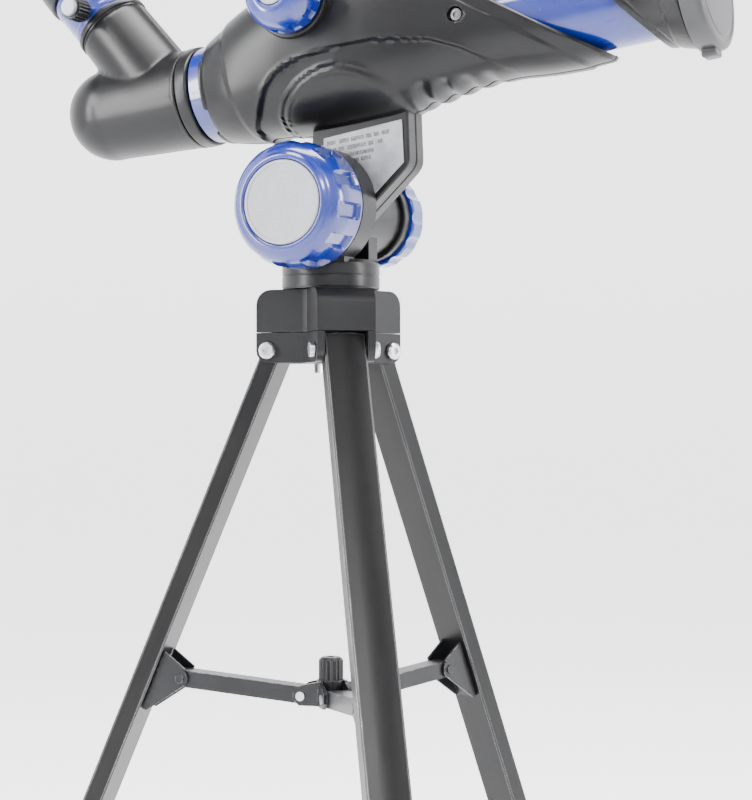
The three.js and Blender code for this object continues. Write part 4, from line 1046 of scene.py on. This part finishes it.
diagonal_body()
turned("eyepiece_holder", rounded([
    (17, 4.6), (20.2, 4.6), (20.5, 5.2), (20.5, 8), (20.3, 8.6), (20.3, 23), (20.5, 23.6),
    (20.5, 29), (19.6, 29.9), (16.3, 29.9), (16.3, 10), (17, 9),
], 0.4, 3, True), BLUE, EYE, axis="z")
turned("eyepiece_barrel", rounded([
    (14.7, -6), (15.9, -6), (15.9, 37.9), (14.7, 37.9),
], 0.2, 2, True), TRIM_BLACK, EYE, axis="z")


def ribbed(depth, count, beyond, h0, h1, sharp=0.7):
    """Straight ribs on a turned piece, outside a radius and between two heights."""
    def shape(r, h, a):
        if r > beyond and h0 < h < h1:
            return r - depth * (0.5 - 0.5 * math.cos(count * a)) ** sharp
        return r
    return shape


def finer(profile, step):
    """A profile with points added so that ribs and notches have rings to live on."""
    out = [profile[0]]
    for p, q in zip(profile, profile[1:]):
        dr, dh = q[0] - p[0], q[1] - p[1]
        n = max(1, int(math.hypot(dr, dh) / step))
        out += [(p[0] + dr * k / n, p[1] + dh * k / n) for k in range(1, n + 1)]
    return out


def eyepiece():
    """Body, rubber eyecup and eye lens, between the heights of their CAD nodes."""
    (_, _, b0), (r, _, b1) = in_frame("eyepiece_body", EYE)
    turned("eyepiece_body", rounded([
        (16.3, b0), (r - 0.6, b0), (r, b0 + 0.8), (r, b1 - 7), (r - 2.6, b1), (12.4, b1),
        (12.4, b1 - 6), (11, b1 - 6), (11, b1 - 9.5), (14.7, b0 + 7.9), (16.3, b0 + 7.9),
    ], 0.5, 3, True), TRIM_BLACK, EYE, axis="z")
    (_, _, c0), (_, _, c1) = in_frame("eyecup", EYE)
    cup = rounded([
        (12.5, c0), (r - 2.8, c0), (r - 2.2, c0 + 4, 2), (r - 3.4, c1, 0.8),
        (r - 5.2, c1, 0.8), (12.9, c0 + 3, 1),
    ], 0.4, 3, True)
    turned("eyecup", finer(cup, 0.5), RUBBER, EYE, 192, "z",
           shape=ribbed(0.35, 48, r - 3.6, c0 + 2, c1 - 2.5, 1))
    (_, _, g0), (glass_r, _, g1) = in_frame("eye_lens", EYE)
    turned("eye_lens", crown(glass_r, g0, g1, 0.3), GLASS, EYE, 64, "z", closed=False)


eyepiece()

# y is towards the far side, so the screw's head is at its lower end
SCREW = axes_at(JOINTS["set_screw_turn"]["pos_m"], EYE_X, (0, 1, 0))
turned("set_screw", finer(rounded([
    (ON_AXIS, -16.4), (2, -16.4), (2, -21.1), (4.4, -21.1), (5, -23.9), (6.5, -24.7),
    (6.5, -33.9), (6, -34.7), (ON_AXIS, -34.7),
], 0.4, 3), 0.45), TRIM_BLACK, SCREW, 240, "y", False, ribbed(0.55, 20, 5.6, -34.4, -24.9))
turned("set_screw_tip", rounded([
    (ON_AXIS, -35), (4.8, -35), (4.8, -37), (4.3, -37.5), (ON_AXIS, -37.3),
], 0.3, 3), spun_silver("silver_screw_tip", SCREW), SCREW, 64, "y", False)


# ------------------------------------------------------------------ knobs
def notched(count, floor, y0, y1, half_width):
    """Square finger notches in a knob's side, down to a radius, between two heights."""
    pitch = 2 * math.pi / count
    side_slope, end_slope = 0.7, 0.8  # how wide the notch's walls are

    def shape(r, h, a):
        if r <= floor:
            return r
        y = abs(h)
        off = (a / pitch % 1 - 0.5) * pitch * r
        side = min(max((half_width + side_slope / 2 - abs(off)) / side_slope, 0), 1)
        near = min(max((y - y0) / end_slope, 0), 1)
        far = min(max((y1 - y) / end_slope, 0), 1)
        k = side * near * far
        return r + (floor - r) * k * k * (3 - 2 * k)
    return shape


def big_knob():
    """The altitude knob, from its back at b to its face at f, on the near side."""
    b, f = 26.05, 55.15
    profile = rounded([
        (4, b), (30.4, b), (31.4, b + 0.6), (32.5, b + 1.8), (32.5, b + 16.5, 3),
        (31.7, b + 21, 3), (29.6, b + 25, 3), (27.1, b + 27.4, 1.5), (25.2, f - 0.9),
        (23.9, f), (22.4, f), (21.8, f - 0.7), (21.8, f - 2), (4, f - 2),
    ], 0.6, 4)
    near = [(r, -h) for r, h in finer(profile, 0.55)]
    grip = notched(12, 30.2, b + 3.8, b + 23.5, 3.7)
    knob = show("altitude_grip", lathe(near, 336, "y", grip, True), BLUE, PIVOT_TILTED, 45)
    washer = rounded([(20, -b), (31.2, -b), (31.2, -b - 0.9), (20, -b - 0.9)], 0.2, 2, True)
    back = show("back_ring", lathe(washer, 128, "y", closed=True), TRIM_BLACK, PIVOT_TILTED)
    return stands_for(joined("altitude_grip_knob", knob, back), "altitude_knob")


def focus_knob():
    """The focus knob, from its back at b to its face at f, on the near side."""
    b, f = 40.1, 59.9
    profile = rounded([
        (3.2, b), (18.7, b), (19.7, b + 1), (19.7, b + 9), (18.3, b + 13.5, 2),
        (15.7, b + 17.4, 2), (12.1, f - 0.4, 1), (10.5, f), (8.6, f), (8.6, f - 1.4),
        (3.2, f - 1.4),
    ], 0.5, 4)
    near = [(r, -h) for r, h in finer(profile, 0.5)]
    bm = lathe(near, 288, "y", notched(12, 18.3, b + 2.2, b + 10.4, 2.2), True)
    return stands_for(show("focus_grip_knob", bm, BLUE, FOCUS, 45), "focus_knob")


def rear_knob():
    """The rear knob, fluted round its rim, on the far side."""
    b, f = 48.25, 64.85
    profile = rounded([
        (4, b), (25.3, b), (26.3, b + 1), (26.3, f - 5), (24.3, f - 1.4, 1.5), (21.3, f, 1),
        (16.6, f), (16.6, f - 1.4), (4, f - 1.4),
    ], 0.5, 4)
    pitch = math.pi / 6
    centre_r, flute_r = 29.9, 5  # the flutes' centres lie outside the rim

    def flute(r, h, a):
        if r < 22:
            return r
        d = abs((a / pitch + 0.5) % 1 - 0.5) * pitch
        aside = centre_r * math.sin(d)
        if aside >= flute_r:
            return r
        return min(r, centre_r * math.cos(d) - math.sqrt(flute_r ** 2 - aside ** 2))

    bm = lathe(finer(profile, 0.6), 288, "y", flute, True)
    return stands_for(show("rear_grip_knob", bm, BLUE, PIVOT, 40), "rear_knob")


big_knob()
focus_knob()
rear_knob()
DISC = spun_silver("silver_disc", PIVOT_TILTED)
FOCUS_DISC = spun_silver("silver_focus_disc", FOCUS)


def bright_disc(node, r, face, back, m, material, way):
    """A disc with a raised rim; way is -1 where its face looks to the near side."""
    rim, dish = face, face - 0.25
    profile = rounded([(radius, way * y) for radius, y in (
        (ON_AXIS, back), (r, back), (r, rim - 0.3), (r - 0.5, rim), (r * 0.93, rim),
        (r * 0.9, dish), (ON_AXIS, dish),
    )], 0.15, 3)
    turned(node, profile, material, m, 144, "y", False)


bright_disc("altitude_knob_disc", 21.5, 54.75, 53.35, PIVOT_TILTED, DISC, -1)
(_, y0, _), (disc_r, y1, _) = in_frame("focus_knob_disc", FOCUS)
bright_disc("focus_knob_disc", disc_r, -y0, -y1, FOCUS, FOCUS_DISC, -1)
(_, y0, _), (disc_r, y1, _) = in_frame("rear_knob_disc", PIVOT)
bright_disc("rear_knob_disc", disc_r, y1, y0, PIVOT, DISC, 1)
(_, y0, _), (_, y1, _) = in_frame("rear_flange", PIVOT)
turned("rear_flange", rounded([
    (4, y0), (23.2, y0), (24, y0 + 0.8), (24, y1 - 0.8), (23.2, y1), (4, y1),
], 0.4, 3, True), TRIM_BLACK, PIVOT, 112, "y")


# ------------------------------------------------------------------ head and hub
HEAD_BLACK = moulded_black("black_moulded_head", 0.005, 0.28, 0.5, 0.12)
stands_for(refined("cheeks_and_pan_base", "yoke", HEAD_BLACK, 0.9, 30, 3), "yoke")


def collar():
    """The round pan collar's turned rim, with a fine groove, over the pan base."""
    z0 = in_frame("yoke", PIVOT)[0][2]
    z1 = z0 + 15
    r = 25.85
    profile = rounded([
        (18, z0), (r - 0.65, z0), (r, z0 + 0.7), (r, z0 + 6.6, 0.1), (r - 0.5, z0 + 7.0, 0.1),
        (r, z0 + 7.4, 0.1), (r, z1 - 1.8), (r - 1.55, z1 + 0.1), (18, z1 + 0.1),
    ], 0.4, 4)
    o = show("turned_collar", lathe(profile, 160, "z", closed=True), HEAD_BLACK, PIVOT, 30)
    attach(o, "head")


collar()
stands_for(refined("three_lobed_cap", "hub_cap", HUB_BLACK, 1.6, 28, 4), "hub_cap")
stands_for(refined("clevis_bracket", "hub_bracket", HUB_BLACK, 0.7, 30, 3), "hub_bracket")
LABEL = printed_label("silver_label", SCOPE, (
    (-2.5, 34, -41.2, 2.2, 1),
    (-1.5, 30, -45.2, 2.2, 2),
    (4, 24, -49.0, 2.0, 3),
    (11, 22, -52.4, 2.0, 4),
))
stands_for(refined("label_film", "label_plate", LABEL, 0.12, 20, 2), "label_plate")


# ------------------------------------------------------------------ legs and spreader
# the name of each leg's pieces, their CAD nodes, finish and edge width
LEG_PIECES = (
    ("top_plug_", "leg_plug_", HUB_BLACK, 0.6),
    ("rubber_foot_", "foot_", RUBBER, 1.0),
    ("riveted_bracket_", "spreader_bracket_", PAINTED, 0.3),
    ("channel_arm_", "spreader_arm_", PAINTED, 0.5),
    ("arm_pivot_pin_", "arm_pin_", STEEL, 0.35),
    ("leg_bolt_socket_", "leg_bolt_", STEEL, 0.35),
)
for name in LEGS:
    metal = leg_metal("anodised_leg_" + name, LEG[name])
    tube = "leg_tube_" + name
    stands_for(refined("extruded_leg_" + name, tube, metal, 0.45, 12, 3, 0.5), tube)
    for piece, node, material, edge in LEG_PIECES:
        stands_for(refined(piece + name, node + name, material, edge, 30, 3), node + name)
stands_for(refined("spreader_plate", "spreader_hub", PAINTED, 0.45, 30, 3), "spreader_hub")
for piece, node, material, edge in (
    ("pan_screw", "pan_bolt", STEEL, 0.15),
    ("cross_bolt", "altitude_bolt", STEEL, 0.15),
    ("pinion_axle", "focus_pinion_shaft", STEEL, 0.15),
    ("front_shell_screw", "shell_screw_1", DARK_STEEL, 0.15),
    ("rear_shell_screw", "shell_screw_2", DARK_STEEL, 0.15),
    ("tube_lock_screw", "tube_screw", DARK_STEEL, 0.15),
    ("toothed_rack", "focus_rack", BRASS, 0.12),
    ("fold_mirror", "diagonal_mirror", MIRROR, 0.3),
):
    stands_for(refined(piece, node, material, edge, 30, 2), node)


def thumb_knob():
    """The ribbed knob on the spreader, between the heights of its CAD node."""
    place = axes_at(COLUMN, (1, 0, 0), (0, 1, 0))
    (_, _, z0), (r, _, z1) = in_frame("spreader_thumb_knob", place)
    profile = rounded([
        (1.8, z0), (r - 0.9, z0), (r, z0 + 0.8), (r, z1 - 1.6), (r - 1.6, z1), (1.8, z1),
    ], 0.5, 4, True)
    turned("spreader_thumb_knob", finer(profile, 0.4), TRIM_BLACK, place, 192, "z",
           shape=ribbed(0.5, 18, r - 0.5, z0 + 0.6, z1 - 1.4))


thumb_knob()


# ------------------------------------------------------------------ floor, light, camera
CAMERA_TURN = 26 * DEG
BACK = Vector((math.sin(CAMERA_TURN), -math.cos(CAMERA_TURN), 0))
RIGHT = Vector((math.cos(CAMERA_TURN), math.sin(CAMERA_TURN), 0))
UP = Vector((0, 0, 1))
FLOOR_POINT = Vector((COLUMN.x, COLUMN.y, 0))


def matt_white(name, tone):
    """Lit from within where it stands behind the object, dim behind the camera."""
    f = Finish(name, Roughness=0.9, Emission_Strength=1.25)
    p = f.place()
    grain = f.noise(p, 30, 3)
    paper = f.mix(grain, tone, tuple(c * 0.985 for c in tone))
    back = f.node("ShaderNodeVectorMath", {"operation": "DOT_PRODUCT"}, {0: p, 1: BACK}, "Value")
    glow = back.ramp(-0.6, 1.2, 1.0, 0.1)
    return f.feed(Base_Color=paper, Emission_Color=f.mix(glow, (0, 0, 0), paper))


def studio():
    """A pale floor that sweeps up into a round wall on every side, in metres."""
    wall_r, wall_top, sweep_r = 3.6, 4.0, 0.9
    below_feet = 0.0004
    sides = 96
    curve = [(wall_r - sweep_r + sweep_r * math.sin(t), sweep_r - sweep_r * math.cos(t))
             for t in np.linspace(0, math.pi / 2, 16)]
    path = [(0.001, 0.0), (1.3, 0.0)] + curve + [(wall_r, wall_top)]
    spokes = [Vector((math.cos(a), math.sin(a), 0))
              for a in (2 * math.pi * k / sides for k in range(sides))]
    bm = bmesh.new()
    rings = [[bm.verts.new(FLOOR_POINT + spoke * r + UP * (z - below_feet)) for spoke in spokes]
             for r, z in path]
    for a, b in zip(rings, rings[1:]):
        for k in range(sides):
            bm.faces.new((a[k], b[k], b[(k + 1) % sides], a[(k + 1) % sides]))
    bm.normal_update()
    me = bpy.data.meshes.new("pale_sweep")
    bm.to_mesh(me)
    bm.free()
    o = bpy.data.objects.new("pale_sweep", me)
    bpy.context.scene.collection.objects.link(o)
    me.materials.append(matt_white("pale_paper", (0.93, 0.93, 0.94)))
    for p in me.polygons:
        p.use_smooth = True


studio()


def soft_light(name, offset, target, size, power):
    """A soft box: offset is (right, back, up) and target (right, up), in metres."""
    data = bpy.data.lights.new(name, "AREA")
    data.shape, data.size, data.size_y = "RECTANGLE", *size
    data.energy = power
    o = bpy.data.objects.new(name, data)
    right, back, up = offset
    o.location = FLOOR_POINT + RIGHT * right + BACK * back + UP * up
    aim = FLOOR_POINT + RIGHT * target[0] + UP * target[1] - o.location
    o.rotation_euler = aim.to_track_quat("-Z", "Y").to_euler()
    bpy.context.scene.collection.objects.link(o)


soft_light("overhead_box", (0.05, 0.1, 1.5), (0, 0.4), (1.5, 0.4), 42)
soft_light("left_box", (-1.2, 0.55, 0.75), (0, 0.35), (0.22, 1.3), 30)
soft_light("right_box", (1.3, 0.35, 0.8), (0, 0.35), (0.2, 1.3), 24)
soft_light("front_box", (0.25, 1.6, 1.2), (0, 0.35), (0.5, 0.3), 16)

world = bpy.data.worlds.new("pale_room")
world.use_nodes = True
sky = world.node_tree.nodes["Background"].inputs
sky["Color"].default_value = (1, 1, 1, 1)
sky["Strength"].default_value = 0.2
bpy.context.scene.world = world

camera = bpy.data.cameras.new("camera")
camera.lens, camera.sensor_width, camera.sensor_fit = 85, 36, "AUTO"
eye = bpy.data.objects.new("camera", camera)
eye.location = FLOOR_POINT + RIGHT * 0.0238 + BACK * 1.0 + UP * 0.329
eye.rotation_euler = (math.pi / 2, 0, CAMERA_TURN)
bpy.context.scene.collection.objects.link(eye)
bpy.context.scene.camera = eye
